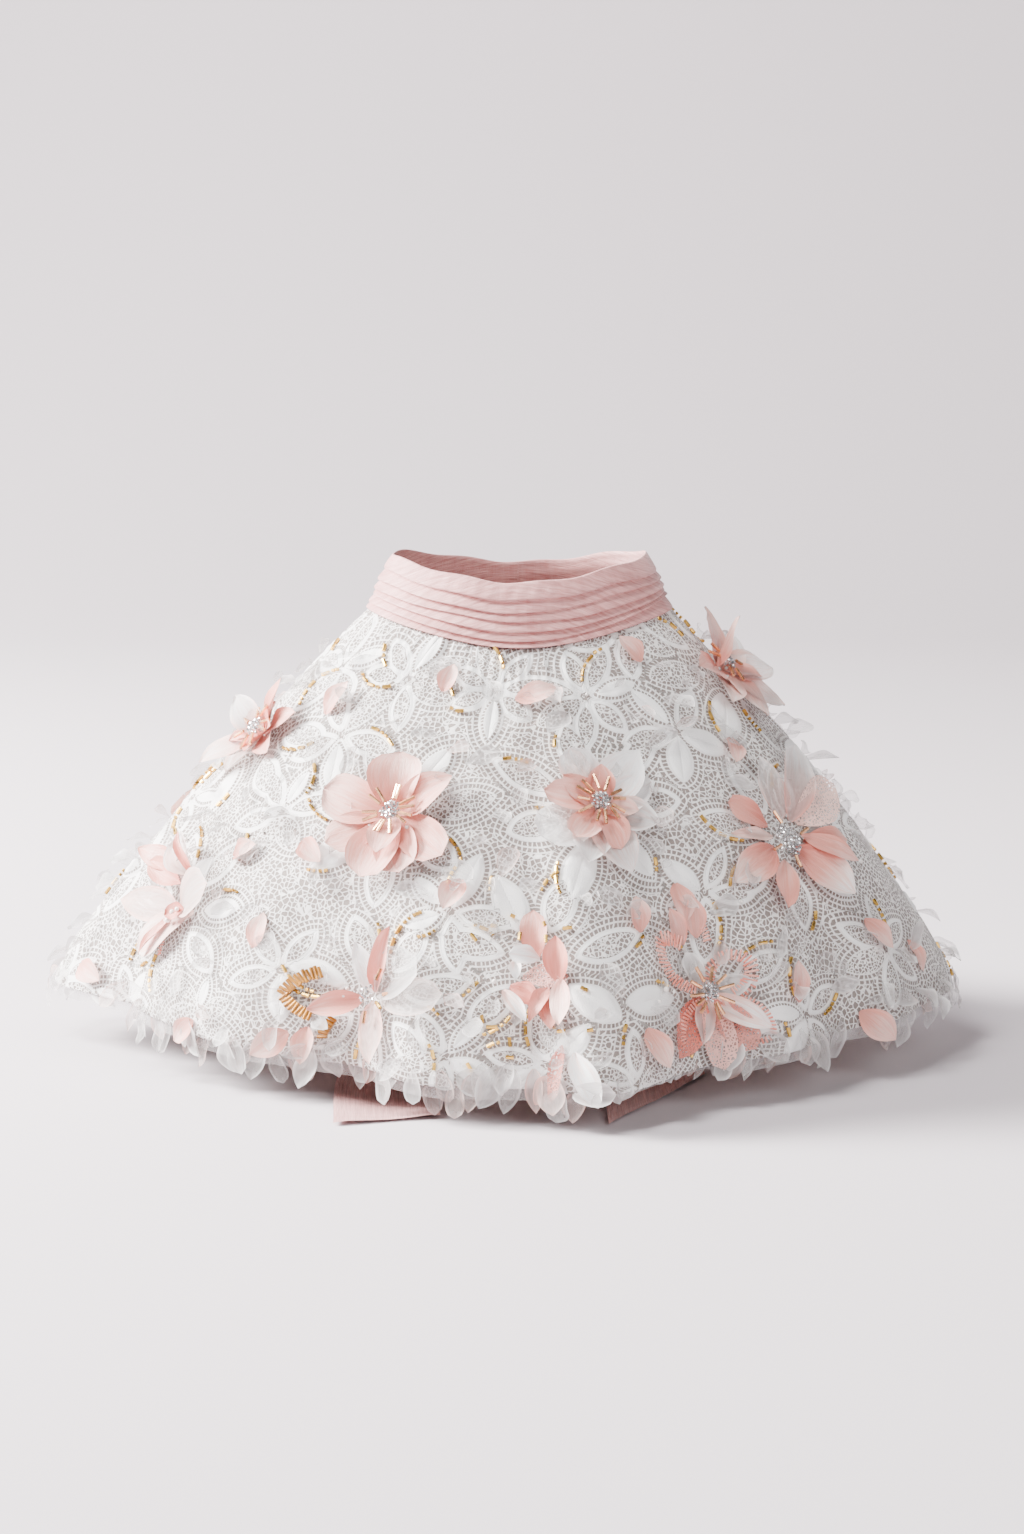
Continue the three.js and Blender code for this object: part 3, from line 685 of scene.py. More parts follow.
flowerPetals = [
    [  # 1: broad rounded petals
        petalAt(-8, 47, 36, 16, -8, 0.78, 0.44, 0.9, cut="round", cup=4),
        petalAt(28, 44, 30, 10, 2, 0.78, 0.42, 0.9, cut="round", cup=3),
        petalAt(62, 48, 29, 8, -4, 0.8, 0.46, 0.92, cut="round", cup=3),
        petalAt(128, 42, 27, 18, -14, 0.76, 0.42, 0.92, cup=4),
        petalAt(188, 40, 34, 24, -30, 0.74, 0.42, 0.92, cut="round", cup=5),
        petalAt(-98, 46, 32, 12, -6, 0.7, 0.38, 0.92, cut="round", cup=3),
        petalAt(-52, 43, 26, 9, 0, 0.74, 0.42, 0.9, cut="round", cup=2),
        petalAt(6, 30, 22, 30, -24, 0.55, 0.45, 0.85, base=4),
    ],
    [  # 2: small curled petals over long pale ones
        petalAt(12, 52, 30, 9, -4, 0.4, 0.12, 0.62),
        petalAt(132, 46, 34, 9, -2, 0.12, 0.0, 0.85, cup=3),
        petalAt(100, 42, 28, 7, -2, 0.12, 0.0, 0.75),
        petalAt(62, 44, 26, 8, 0, 0.3, 0.08, 0.6),
        petalAt(-62, 42, 30, 9, 0, 0.12, 0.0, 0.55, cut="round"),
        petalAt(-20, 42, 26, 8, 0, 0.3, 0.05, 0.55),
        petalAt(196, 40, 26, 12, 0, 0.35, 0.08, 0.6, cut="round"),
        petalAt(-108, 30, 20, 26, -10, 0.62, 0.42, 0.9, cut="round", cup=4),
        petalAt(170, 26, 19, 34, -20, 0.85, 0.5, 0.9, cup=3),
        petalAt(222, 27, 18, 26, -10, 0.62, 0.42, 0.9, cup=3),
        petalAt(14, 34, 19, 26, -40, 0.66, 0.5, 0.95, cut="round", cup=4),
        petalAt(-38, 29, 19, 20, -10, 0.62, 0.42, 0.9, cut="round", cup=3),
        petalAt(66, 26, 17, 30, -24, 0.5, 0.3, 0.95, cup=3),
    ],
    [  # 3: long pointed petals round a low cluster of stones
        petalAt(-129, 35, 21, 12, -8, 0.92, 0.6, 0.95, cut="round", at=(-5, -12)),
        petalAt(-71, 53, 24, 10, -6, 0.92, 0.22, 0.85, at=(-10, 0)),
        petalAt(-36, 39, 19, 12, -8, 0.5, 0.62, 0.97, at=(-9, 9), base=3),
        petalAt(27, 47, 30, 9, -3, 0.98, 0.16, 0.88, cup=4, at=(4, 3)),
        petalAt(41, 42, 15, 16, -10, 0.7, 0.45, 0.85, at=(12, -3), base=4),
        petalAt(100, 46, 30, 24, -6, 0.3, 0.2, 0.9, cut="round", net=True, at=(14, -10)),
        petalAt(172, 42, 22, 12, -4, 0.55, 0.08, 0.5, at=(6, -12)),
        petalAt(140, 56, 26, 16, -8, 0.75, 0.05, 0.55, cut="round", cup=4, at=(10, -10)),
        petalAt(-105, 36, 9, 8, -4, 0.3, 0.36, 0.8, at=(-6, -5)),
        petalAt(72, 36, 18, 16, -8, 0.95, 0.4, 0.9, at=(12, 2)),
    ],
    [  # 4: a small flower seen from its side
        petalAt(168, 38, 15, 36, -10, 0.85, 0.6, 0.95, cup=3),
        petalAt(122, 34, 21, 16, -10, 0.78, 0.45, 0.9, cup=3),
        petalAt(72, 33, 20, 12, -8, 0.72, 0.5, 0.9, cup=3),
        petalAt(18, 38, 21, 20, -12, 0.5, 0.15, 0.6, cup=3),
        petalAt(-28, 44, 20, 26, -14, 0.55, 0.2, 0.75, cup=3),
        petalAt(-105, 34, 20, 46, -14, 0.4, 0.1, 0.5, cup=3),
        *ringOf(5, 30, 21, 13, 36, -24, 0.8, 0.55, 0.92, cup=3),
    ],
    [  # 5: broad sheer petals and small folded ones round a few pearls
        petalAt(-82, 60, 25, 14, -10, 0.5, 0.35, 0.6, cup=3),
        petalAt(-20, 44, 22, 8, -4, 0.2, 0.05, 0.5),
        petalAt(-44, 56, 26, 12, -8, 0.34, 0.2, 0.85, cut="drop", at=(18, -5)),
        petalAt(130, 34, 34, 26, -22, 0.3, 0.2, 0.6, cut="round", cup=5),
        petalAt(-125, 30, 24, 34, -30, 0.3, 0.12, 0.6, cut="round", cup=8, at=(-2, -24), base=4),
        petalAt(-134, 32, 7, 38, -30, 0.95, 0.7, 0.98, cup=3, at=(3, -24), base=6),
        petalAt(-96, 36, 17, 24, -16, 0.9, 0.6, 0.9, cup=4, at=(-10, -16), base=4),
        petalAt(-91, 42, 15, 22, -12, 0.62, 0.5, 0.8, cup=3, at=(-20, -25), base=4),
        petalAt(-16, 38, 8, 20, -14, 0.9, 0.6, 1.0, base=4),
        petalAt(-47, 15, 13, 24, -10, 1.0, 0.9, 1.0, at=(12, -4), base=6),
        petalAt(160, 40, 22, 12, -4, 0.12, 0.0, 0.4),
    ],
    [  # 6: standing petals on the right shoulder
        petalAt(-150, 44, 22, 62, 12, 0.62, 0.35, 0.9, cup=4),
        petalAt(-95, 38, 26, 22, -8, 0.62, 0.4, 0.88, cup=3),
        petalAt(-50, 42, 26, 16, -8, 0.5, 0.22, 0.85, cup=4),
        petalAt(-12, 46, 28, 14, -8, 0.5, 0.25, 0.85, cup=4),
        petalAt(22, 52, 30, 12, 6, 0.52, 0.16, 0.8, cup=4),
        petalAt(55, 50, 30, 24, 4, 0.55, 0.12, 0.7, cup=4),
        petalAt(100, 44, 26, 26, -6, 0.45, 0.12, 0.75, cup=3),
        petalAt(160, 40, 25, 34, -20, 0.6, 0.3, 0.85, cup=4),
        petalAt(30, 28, 17, 46, -30, 0.6, 0.45, 0.9, base=3),
    ],
    [  # 7: sheer petals round a lace centre
        petalAt(-70, 38, 16, 16, -12, 0.8, 0.5, 0.98, cup=4, start=9),
        petalAt(9, 40, 22, 8, -4, 0.5, 0.28, 0.62, cup=2),
        petalAt(165, 44, 16, 26, -16, 0.7, 0.5, 0.92, cup=5),
        petalAt(133, 40, 30, 18, -8, 0.12, 0.0, 0.36, cut="round", cup=4),
        petalAt(100, 46, 24, 9, -2, 0.36, 0.2, 0.36, cut="round"),
        petalAt(-150, 34, 15, 7, -4, 0.12, 0.0, 0.7),
    ],
    [  # 8: net and smooth petals, with stitched outlines round the lace's own
        petalAt(-160, 27, 15, 12, -6, 0.12, 0.0, 0.5, cut="round"),
        petalAt(-40, 44, 26, 6, -4, 0.9, 0.6, 0.9, net=True),
        petalAt(6, 47, 24, 8, -5, 0.5, 0.36, 0.9, cut="round", net=True),
        petalAt(34, 46, 22, 6, -4, 0.6, 0.5, 0.9, cut="round", net=True),
        petalAt(54, 45, 17, 14, -9, 0.28, 0.14, 0.9, cup=4),
        petalAt(-18, 30, 17, 14, -10, 0.4, 0.2, 0.55),
        petalAt(-168, 24, 14, 12, -6, 0.7, 0.5, 0.75, start=34),
        petalAt(176, 26, 15, 14, -8, 0.6, 0.45, 0.8, start=36),
        petalAt(96, 30, 16, 8, -4, 0.12, 0.0, 0.4),
    ],
    [  # 9: folded petals sewn one by one round a patch of net
        petalAt(180, 33, 19, 12, -16, 0.75, 0.5, 1.0, cut="round", at=(-3, 3)),
        petalAt(178, 30, 14, 16, -12, 0.85, 0.7, 1.0, cup=5, at=(11, 15)),
        petalAt(-95, 22, 12, 22, -20, 0.16, 0.05, 0.85, cut="round", base=7, at=(5, 0)),
        petalAt(0, 15, 7, 24, -20, 0.12, 0.0, 0.95, base=5, at=(-15, -3)),
        petalAt(90, 28, 15, 3, 0, 0.4, 0.5, 0.9, cut="round", net=True, at=(-13, 10)),
        petalAt(60, 26, 15, 18, -16, 0.9, 0.7, 1.0, base=3, at=(-20, 15)),
        petalAt(32, 27, 10, 24, -20, 0.3, 0.08, 1.0, base=6, at=(-23, 18)),
        petalAt(-30, 30, 13, 18, -14, 0.8, 0.55, 1.0, base=4, at=(8, 15)),
        petalAt(8, 26, 12, 12, -8, 0.85, 0.6, 1.0, base=3, at=(4, 16)),
        petalAt(3, 34, 10, 22, -14, 0.5, 0.3, 0.85, base=5, at=(14, 9)),
        petalAt(-9, 38, 8, 4, 0, 0.6, 0.5, 0.9, net=True, at=(12, 50)),
        petalAt(18, 36, 12, 9, -4, 0.12, 0.0, 0.95, cup=4, at=(17, 54)),
        petalAt(-34, 22, 15, 12, -8, 0.5, 0.3, 0.6, at=(10, 72)),
    ],
]
backFlower = [
    *ringOf(6, 0, 44, 30, 12, -8, 0.6, 0.36, 0.88, cut="round", cup=4),
    *ringOf(5, 25, 30, 20, 30, -24, 0.7, 0.5, 0.92, base=3),
]


def makeFlowers():
    rng = np.random.default_rng(blooms["seed"])
    netted = []
    for index, flower in enumerate(flowerPlaces):
        reach = math.hypot(*flowerCentre(flower)[:2])
        plan = flowerPetals[index] if index < len(flowerPetals) else backFlower
        scale = 1.0 if index < len(flowerPetals) else flower["radius"] / blooms["scaleFrom"]
        petals = []
        for order, petal in enumerate(plan):
            turn = petal["turn"] + rng.uniform(-blooms["jitter"], blooms["jitter"])
            across, down = petal.get("at", (0, 0))
            grown = {"start": 2.5, "ruffle": 0.8, **petal}
            grown["long"], grown["wide"] = petal["long"] * scale, petal["wide"] * scale
            grown["place"] = skirtSpot(
                flower["angle"] + across / reach, flower["drop"] + down / blooms["slope"],
                math.radians(turn))
            grown["base"] = petal.get("base", 1.5) + 0.35 * (order % 4)
            grown["phase"] = rng.uniform(0, tau)
            grown["twist"] = rng.uniform(-8, 8)
            (netted if petal.get("net") else petals).append(grown)
        piece = growPetals(f"flower{index + 1:02d}Petals", petals, silkPetal)
        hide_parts(f"flower_{index + 1:02d}")
    growPetals("netPetals", netted, netPetal)


makeFlowers()
print("flowers made")

# Loose petals of sheer and blush organza, sewn by their base all over the lace
scatter = {
    "seed": 21, "front": 200, "back": 180, "apart": 15, "long": (12, 25), "ratio": (0.4, 0.66),
    "lift": (8, 52), "curl": (-30, 10), "blushShare": 0.13, "blush": (0.45, 0.2), "solid": (0.1, 0.42),
    "cup": (1, 5), "cuts": ("leaf", "round", "leaf", "drop"), "ruffle": (0.4, 1.6), "twist": 30,
    "turn": 1.1,
}
# angle, drop, turn and length of the blush petals that stand out
blushPetals = [
    (-60, 0.23, 165, 26), (-46, 0.50, 60, 24), (-10, 0.53, -20, 25), (-1, 0.12, 100, 27),
    (48, 0.08, 200, 22), (62, 0.29, -40, 24), (32, 0.57, -5, 28), (67, 0.75, 20, 27),
    (77, 0.84, 5, 24), (48, 0.89, 170, 26), (61, 0.96, 40, 28), (-47, 0.76, 185, 24),
    (-85, 0.93, 70, 26), (-55, 0.965, -45, 24), (-27, 0.12, 170, 20), (22, 0.66, 180, 24),
    (-61, 0.58, 120, 24), (-37.5, 0.94, -52, 27), (-34.5, 0.92, -2, 24), (20, 0.87, 10, 30),
]


def clearOfTails(angle, drop):  # the two tails hang down the centre back
    here = skirtFace(angle, drop)
    return here[1] < 0 or abs(here[0]) > 92


def aboveTail(angle):  # 1 where the right tail's end shows under the front hem
    degrees = np.degrees(angle)
    return smooth(7, 13, degrees) * smooth(37, 31, degrees)


def sheerPetal(rng, work, long, lift, curl, tint, angle, drop):
    return {
        "long": long, "wide": long * rng.uniform(*work["ratio"]), "lift": rng.uniform(*lift),
        "curl": rng.uniform(*curl), "tint": tint or (rng.uniform(0, 0.12), 0.0),
        "solid": rng.uniform(*work["solid"]), "cup": rng.uniform(*work["cup"]),
        "cut": work["cuts"][rng.integers(4)], "ruffle": rng.uniform(*work["ruffle"]),
        "phase": rng.uniform(0, tau), "twist": rng.uniform(-work["twist"], work["twist"]),
        "base": 1.0, "place": skirtSpot(angle, drop, rng.normal(0, work["turn"]))}


def scatterPetals():
    rng = np.random.default_rng(scatter["seed"])
    groups = {"Front": [], "Back": []}
    for angle, drop, turn, long in blushPetals:
        for mirror in (False, True):
            place = math.radians(180 - angle if mirror else angle)
            if mirror and not clearOfTails(place, drop):
                continue
            groups["Back" if mirror else "Front"].append({
                "long": long, "wide": long * 0.62, "lift": rng.uniform(8, 22),
                "curl": rng.uniform(-24, 0), "tint": (0.62, 0.34), "solid": 0.85, "base": 1.2,
                "cup": rng.uniform(2, 4), "ruffle": 0.6,
                "place": skirtSpot(place, drop, math.radians(-turn if mirror else turn))})
    for name, middle in (("Front", 0), ("Back", math.pi)):
        taken, wanted = [], scatter[name.lower()]
        for _ in range(wanted * 12):
            if len(taken) >= wanted:
                break
            angle = middle + rng.uniform(-math.pi / 2, math.pi / 2)
            drop = rng.uniform(0.02, 1.0) ** 0.72
            here = skirtFace(angle, drop)
            crowded = any(np.linalg.norm(here - other) < scatter["apart"] for other in taken)
            if crowded or not clearOfTails(angle, drop):
                continue
            near = min(
                np.linalg.norm(here - flowerCentre(one)) / one["radius"] for one in flowerPlaces)
            if near < 0.75 or (near > 1.7 and rng.uniform() < 0.3):
                continue
            taken.append(here)
            long = rng.uniform(*scatter["long"])
            blush = rng.uniform() < scatter["blushShare"]
            petal = sheerPetal(
                rng, scatter, long, scatter["lift"], scatter["curl"],
                scatter["blush"] if blush else None, angle, drop)
            if drop < 0.92 or aboveTail(angle) < 0.5:
                groups[name].append(petal)
    return [growPetals(f"loosePetals{name}", petals, organzaPetal)
            for name, petals in groups.items()]


looseFront, looseBack = scatterPetals()
print("loose petals made")

# The petal hem: a sheer strip under the lace's edge and leaf petals hanging from it
hemWork = {
    "seed": 8, "count": 84, "long": (17, 31), "from": (0.94, 0.995), "strip": 8, "lowest": 19.5,
    "ratio": (0.42, 0.66), "solid": (0.2, 0.48), "cup": (0.5, 3), "ruffle": (0.3, 1.4), "twist": 25,
    "turn": 0.4, "cuts": ("leaf", "leaf", "leaf", "round"), "blush": (0.5, 0.3), "pale": (0.08, 0.0),
    # lift, curl, lowest point and base of the petals below the edge and over it
    "below": ((-6, 6), (-4, 14), -4.0, -2.4), "over": ((6, 26), (-26, 6), 0.8, 1.2), "share": 0.55,
    "blushShare": 0.3,
    "slope": 262, "under": -2.4, "columns": 260, "color": (0.92, 0.905, 0.9),
    "tones": ((0.6, 0.575, 0.565), (0.72, 0.7, 0.69)),
}


def makeHem(name, side, fromDegrees, node):
    work = hemWork
    rng = np.random.default_rng(work["seed"] + (fromDegrees > 0))
    petals = []
    for index in range(work["count"]):
        angle = math.radians(fromDegrees + 180 * (index + rng.uniform(0.1, 0.9)) / work["count"])
        start = rng.uniform(*work["from"])
        shown = aboveTail(angle) > 0.5
        if shown or not clearOfTails(angle, 1.0):
            start, long = (0.957, rng.uniform(13, 21)) if shown else (0.94, 15)
        else:
            long = rng.uniform(*work["long"])
        edge = skirtFace(angle, 1.0)[2] - floorLevel
        long = min(long, (1 - start) * work["slope"] + min(work["lowest"], edge - 3))
        lift, curl, least, base = work["below" if rng.uniform() < work["share"] else "over"]
        tint = work["blush" if rng.uniform() < work["blushShare"] else "pale"]
        petal = sheerPetal(rng, work, long, lift, curl, tint, angle, start)
        petals.append({**petal, "least": least, "base": base})
    piece = growPetals(name, petals, organzaPetal)
    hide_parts(node)

    def place(across, up):
        angle = math.radians(fromDegrees) + math.pi * across
        wave = 1.2 * np.sin(31 * angle) * (1 - up)
        reach = mix(work["strip"] * (1 - 0.7 * aboveTail(angle)) / work["slope"], -0.03, up)
        return skirtPoint(angle, 1 + reach, work["under"] + wave)

    return piece, gridPiece(f"hemStrip{side}", work["columns"], 6, place, hemOrganza)[0]


def hemMaterial():
    material, tree, shader, grain = grainedCloth(
        "hemOrganza", hemWork["color"], hemWork["tones"], 0.45, 1500.0, 70.0, Sheen_Weight=0.2)
    feed(tree, ramp(tree, grain.outputs["Fibre"], 0.0, 1.0, 0.3, 0.46), shader, "Alpha")
    return material


hemOrganza = hemMaterial()
hemFront, stripFront = makeHem("hemPetalsFront", "Front", -90, "hem_petals_front")
hemBack, stripBack = makeHem("hemPetalsBack", "Back", 90, "hem_petals_back")
print("hem made")

# The sash: shingled pleats of slub silk round the waist
sashForm = {
    "columns": 300, "pleats": 6, "deep": 2.9, "edges": (0, 0.25, 0.45, 0.61, 0.75, 0.88, 1),
    "wave": 0.016, "thick": 1.5, "innerRows": 16,
    "silk": (0.56, 0.225, 0.21), "pale": (0.74, 0.4, 0.38), "dark": (0.33, 0.105, 0.1),
    # level share within a pleat and how far out it stands, from its lower edge up
    "profile": [
        (0.985, 0.25), (1.0, 0.7), (0.97, 0.97), (0.88, 1.0), (0.7, 0.86), (0.5, 0.66), (0.3, 0.44),
        (0.14, 0.24), (0.03, 0.1)],
    "rim": [(-0.012, -0.1), (-0.022, -0.45), (-0.012, -0.85)],
}


def sashPoint(angle, level, out):
    form, band = skirtForm, waistForm
    top = band["top"] - band["dip"] * np.cos(2 * angle) + band["rimWave"] * np.sin(9 * angle)
    bottom = form["seamLevel"] - form["seamDip"] * np.cos(2 * angle) + 0.3
    radius = out + ellipseRadius(
        angle, mix(band["wide"], form["seamWide"], level), mix(band["deep"], form["seamDeep"], level))
    return np.stack([
        radius * np.sin(angle), -radius * np.cos(angle), mix(top, bottom, level)], -1)


def pleatEdge(angle, pleat):
    form = sashForm
    if pleat in (0, form["pleats"]):
        return np.full_like(angle, form["edges"][pleat])
    gather = 1 - 0.28 * smooth(0.75, 1.5, angle) * smooth(2.3, 1.5, angle)
    middle = form["edges"][pleat]
    wander = form["wave"] * (np.sin(angle * 2 + pleat * 1.7) + 0.6 * np.sin(angle * 3 - pleat * 2.3))
    return 0.5 + (middle - 0.5) * gather + wander


def makeSash():
    form = sashForm
    rows = [("out", pleat, *step)
            for pleat in reversed(range(form["pleats"])) for step in form["profile"]]
    rows += [("rim", 0, *step) for step in form["rim"]]
    rows += [("in", 0, step / form["innerRows"], -1.0) for step in range(1, form["innerRows"] + 1)]

    def place(across, up):
        angle = math.pi + tau * across
        row = np.rint(up * (len(rows) - 1)).astype(int)
        points = np.zeros((len(across), 3))
        turned = np.where(angle > math.pi, angle - tau, angle)
        for index, (kind, pleat, level, out) in enumerate(rows):
            pick = row == index
            here = turned[pick]
            if kind == "out":
                low, high = pleatEdge(here, pleat), pleatEdge(here, pleat + 1)
                at = mix(low, high, level)
                puff = 1 + 0.25 * np.sin(5 * here + pleat * 2.1) * np.sin(3 * here)
                push = 0.3 + form["deep"] * out * puff
                push = push + 0.18 * np.sin(46 * here + 9 * at) * math.sin(math.pi * level)
            elif kind == "rim":
                at, push = np.full(len(here), level), form["thick"] * (out + 0.1) + 0.2
            else:
                at = np.full(len(here), level)
                push = -form["thick"] + 0.5 * np.sin(level * 21 + 0.8 * np.sin(3 * here))
            points[pick] = sashPoint(here, at, push)
        return points

    piece = gridPiece("sashBand", form["columns"], len(rows) - 1, place, sashSilk)[0]
    bm = bmesh.new()
    bm.from_mesh(piece.data)
    bmesh.ops.remove_doubles(bm, verts=bm.verts, dist=1e-5)
    bm.to_mesh(piece.data)
    bm.free()
    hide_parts("sash_band")
    return piece


def silkMaterial():
    form = sashForm
    material, tree, shader = newMaterial(
        "slubSilk", form["silk"], 0.5, Sheen_Weight=0.3, Sheen_Roughness=0.4)
    weave = attribute(tree, "silkWeave").outputs["Vector"]
    grain = groupNode(tree, clothGrain, {
        "Vector": weave, "Stretch": (0.05, 1.3, 1.0), "Fine": 1.5, "Cloud": 0.6})
    cross = groupNode(tree, clothGrain, {
        "Vector": weave, "Stretch": (1.2, 0.08, 1.0), "Fine": 1.6, "Cloud": 0.2})
    color = blendColor(tree, grain.outputs["Fibre"], form["silk"], form["pale"])
    slub = ramp(tree, grain.outputs["Tone"], 0.75, 0.2, 0.0, 0.45)
    color = blendColor(tree, slub, color, form["dark"])
    streak = sums(tree, "MULTIPLY", cross.outputs["Tone"], 0.25)
    feed(tree, blendColor(tree, streak, color, form["pale"]), shader)
    feed(tree, ramp(tree, grain.outputs["Fibre"], 0.0, 1.0, 0.6, 0.42), shader, "Roughness")
    height = sums(tree, "MULTIPLY_ADD", cross.outputs["Fibre"], 0.35, grain.outputs["Fibre"])
    bumpInto(tree, shader, height, 0.3, 0.6)
    return material


def storeWeave(mesh, across, along):  # millimetres along the thread and across it
    storeVectors(mesh, "silkWeave", np.stack([across, along, np.zeros(len(across))], -1))


def weaveFromPlace(mesh):
    x, y, z = readCorners(mesh).T / mm
    storeWeave(mesh, np.arctan2(x, -y) * waistForm["wide"], z + np.hypot(x, y) * 0.7)


sashSilk = silkMaterial()
sashBand = makeSash()
weaveFromPlace(sashBand.data)

# The knot at the back, pinched at its middle, and the two tails below it
knotForm = {"wide": 46, "out": 2.7, "deep": 11, "pinch": 0.7, "columns": 60, "rows": 40, "cloth": (50, 60)}


def makeKnot():
    form = knotForm

    def place(across, up):
        side, level = 1 - 2 * across, 1 - up
        swell = np.sqrt(np.maximum(0, 1 - side ** 4))
        swell = swell * np.sin(math.pi * mix(0.02, 0.98, level)) ** 0.6
        half = form["wide"] / 2 * mix(1, form["pinch"], np.sin(math.pi * level))
        fold = 0.9 * np.sin(level * 23 + 1.3 * side * np.sin(level * 5)) * swell
        angle = math.pi - side * half / waistForm["deep"]
        return sashPoint(angle, mix(0.02, 0.99, level), form["out"] + form["deep"] * swell + fold)

    piece, shares = gridPiece("sashKnot", form["columns"], form["rows"], place, sashSilk)
    storeWeave(piece.data, *(shares * form["cloth"]).T)
    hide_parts("sash_knot")
    return piece


sashKnot = makeKnot()

tailForm = {
    "half": 33, "topHalf": 10, "topApart": 1.5, "hemApart": 5, "stand": 2.9, "ripple": 1.2,
    "bend": 14, "thick": 1.5, "spread": 0.3, "hug": 0.6, "border": 4.2, "borderDeep": 0.7,
    "rowLong": 4.2, "cloth": (66, 640), "columns": 26, "rows": {"fall": 70, "bend": 10, "run": 80},
    "routes": [
        ("Left", -1, [(-46, 150), (-62, 0), (-85, -110), (-83, -240)], 10),
        ("Right", 1, [(50, 150), (66, 20), (84, -70), (88, -186)], 67)],
}


def splinePoints(points, shares):  # a Catmull-Rom curve, with its ends doubled
    points = np.array(points, float)
    points = np.vstack([points[:1], points, points[-1:]])
    spans = len(points) - 3
    at = np.clip(shares * spans, 0, spans - 1e-9)
    span = at.astype(int)
    t = (at - span)[:, None]
    a, b, c, d = (points[span + step] for step in range(4))
    return 0.5 * (2 * b + (c - a) * t + (2 * a - 5 * b + 4 * c - d) * t ** 2
                  + (3 * b - a - 3 * c + d) * t ** 3)


def makeTail(name, side, route, slant):
    form, rowsOf = tailForm, tailForm["rows"]
    total = 1 + sum(rowsOf.values())

    def halfAt(drop):
        return mix(form["topHalf"], form["half"], np.minimum(1, drop / form["spread"]))

    def offsetAt(drop, unit):
        apart = mix(form["topApart"], form["hemApart"], drop)
        return side * (halfAt(drop) + apart) + unit * halfAt(drop)

    def place(across, up):
        along = up * (total - 1)
        row = np.rint(along).astype(int)
        unit = 1 - 2 * across
        points = np.zeros((len(across), 3))
        edgeIn = np.minimum((1 - np.abs(unit)) * form["half"], (1 - up) * (total - 1) * form["rowLong"])
        border = smooth(form["border"] + 0.3, form["border"] - 0.3, edgeIn) * form["borderDeep"]
        wave = 0.7 * np.sin(along / 9 + 2.3 * unit) + 0.5 * np.sin(along / 4.3 - 3 * unit)
        calm = smooth(0.0, 0.12, up) * smooth(0.0, 0.5, 1 - np.abs(unit) * 0.8)
        lift = border + (wave + 0.9) * calm
        top = row == 0
        angle = math.pi - offsetAt(np.zeros(1), unit[top]) / skirtForm["seamDeep"]
        points[top] = sashPoint(angle, np.full(len(angle), 0.97), 3.0 + form["thick"])
        fall = (row > 0) & (row <= rowsOf["fall"])
        drop = mix(0.03, 1, (row[fall] - 1) / (rowsOf["fall"] - 1))
        radius = skirtRadius(math.pi, drop)
        hug = 1 - form["hug"] * np.abs(unit[fall]) ** 4
        points[fall] = skirtPoint(
            math.pi - offsetAt(drop, unit[fall]) / radius, drop,
            hug * (form["stand"] + form["ripple"] * np.sin(math.pi * drop)) + lift[fall])
        edge = skirtPoint(
            math.pi - offsetAt(np.ones(1), unit) / skirtForm["hemDeep"], np.ones(len(unit)),
            np.full(len(unit), form["stand"]))
        centre = edge[:, 1] + form["thick"] - form["bend"]
        bend = (row > rowsOf["fall"]) & (row <= rowsOf["fall"] + rowsOf["bend"])
        turn = math.pi / 2 * (row[bend] - rowsOf["fall"]) / rowsOf["bend"]
        reach = form["bend"] - 1.0
        points[bend] = np.stack([
            edge[bend, 0], centre[bend] + reach * np.cos(turn),
            floorLevel + form["bend"] - reach * np.sin(turn)], -1)
        run = row > rowsOf["fall"] + rowsOf["bend"]
        part = (row[run] - rowsOf["fall"] - rowsOf["bend"]) / rowsOf["run"]
        start = offsetAt(1.0, 0.0) + skirtForm["lean"]
        xs = splinePoints([(start, 0), *route], part)[:, 0]
        ys = np.zeros(len(part))
        for one in np.unique(centre[run]):
            pick = centre[run] == one
            ys[pick] = splinePoints([(start, one), *route], part[pick])[:, 1]
        points[run] = np.stack([
            xs + unit[run] * form["half"], ys + unit[run] * slant * part ** 3,
            floorLevel + 1.0 + lift[run]], -1)
        return points

    piece, shares = gridPiece(
        f"sashTail{name}", form["columns"], total - 1, place, sashSilk)
    storeWeave(piece.data, *(shares * form["cloth"]).T[::-1])
    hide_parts(f"sash_tail_{name.lower()}")
    return piece


tails = [makeTail(*route) for route in tailForm["routes"]]
print("sash, knot and tails made")

# Beads: gold bugles and crystals in the flowers, gold strings along the lace's leaves
beadWork = {
    "seed": 3, "bugleLong": 9, "bugleWide": 1.15, "crystal": 1.35, "stringWide": 1.25,
    # how many bugles and stones each flower's heart has, where it isn't the usual number
    "rods": {0: 13, 1: 12, 2: 4, 4: 0, 5: 6, 6: 0, 7: 11, 8: 0}, "usualRods": 8,
    "stones": {2: 46, 4: 0, 6: 12, 8: 0}, "usualStones": 26,
    "lowHeart": (1.5, 1.7, 5),  # how much broader, deeper and lower the third flower's heart is
    "rodStart": 7.5, "rodHeight": 11.5, "stoneReach": 6.6, "stoneHeight": 9.5, "dome": 2.5,
    "strung": (0.85, 0.22),  # the share of leaves with a string, beside flowers and elsewhere
    "short": (1.6, 2.4), "long": (4.5, 6.5), "shortShare": 0.55, "gap": 0.9, "aside": 1.5, "height": 1.4,
    "gold": (0.86, 0.52, 0.12), "rose": (0.92, 0.5, 0.27), "glass": (0.8, 0.79, 0.8),
}
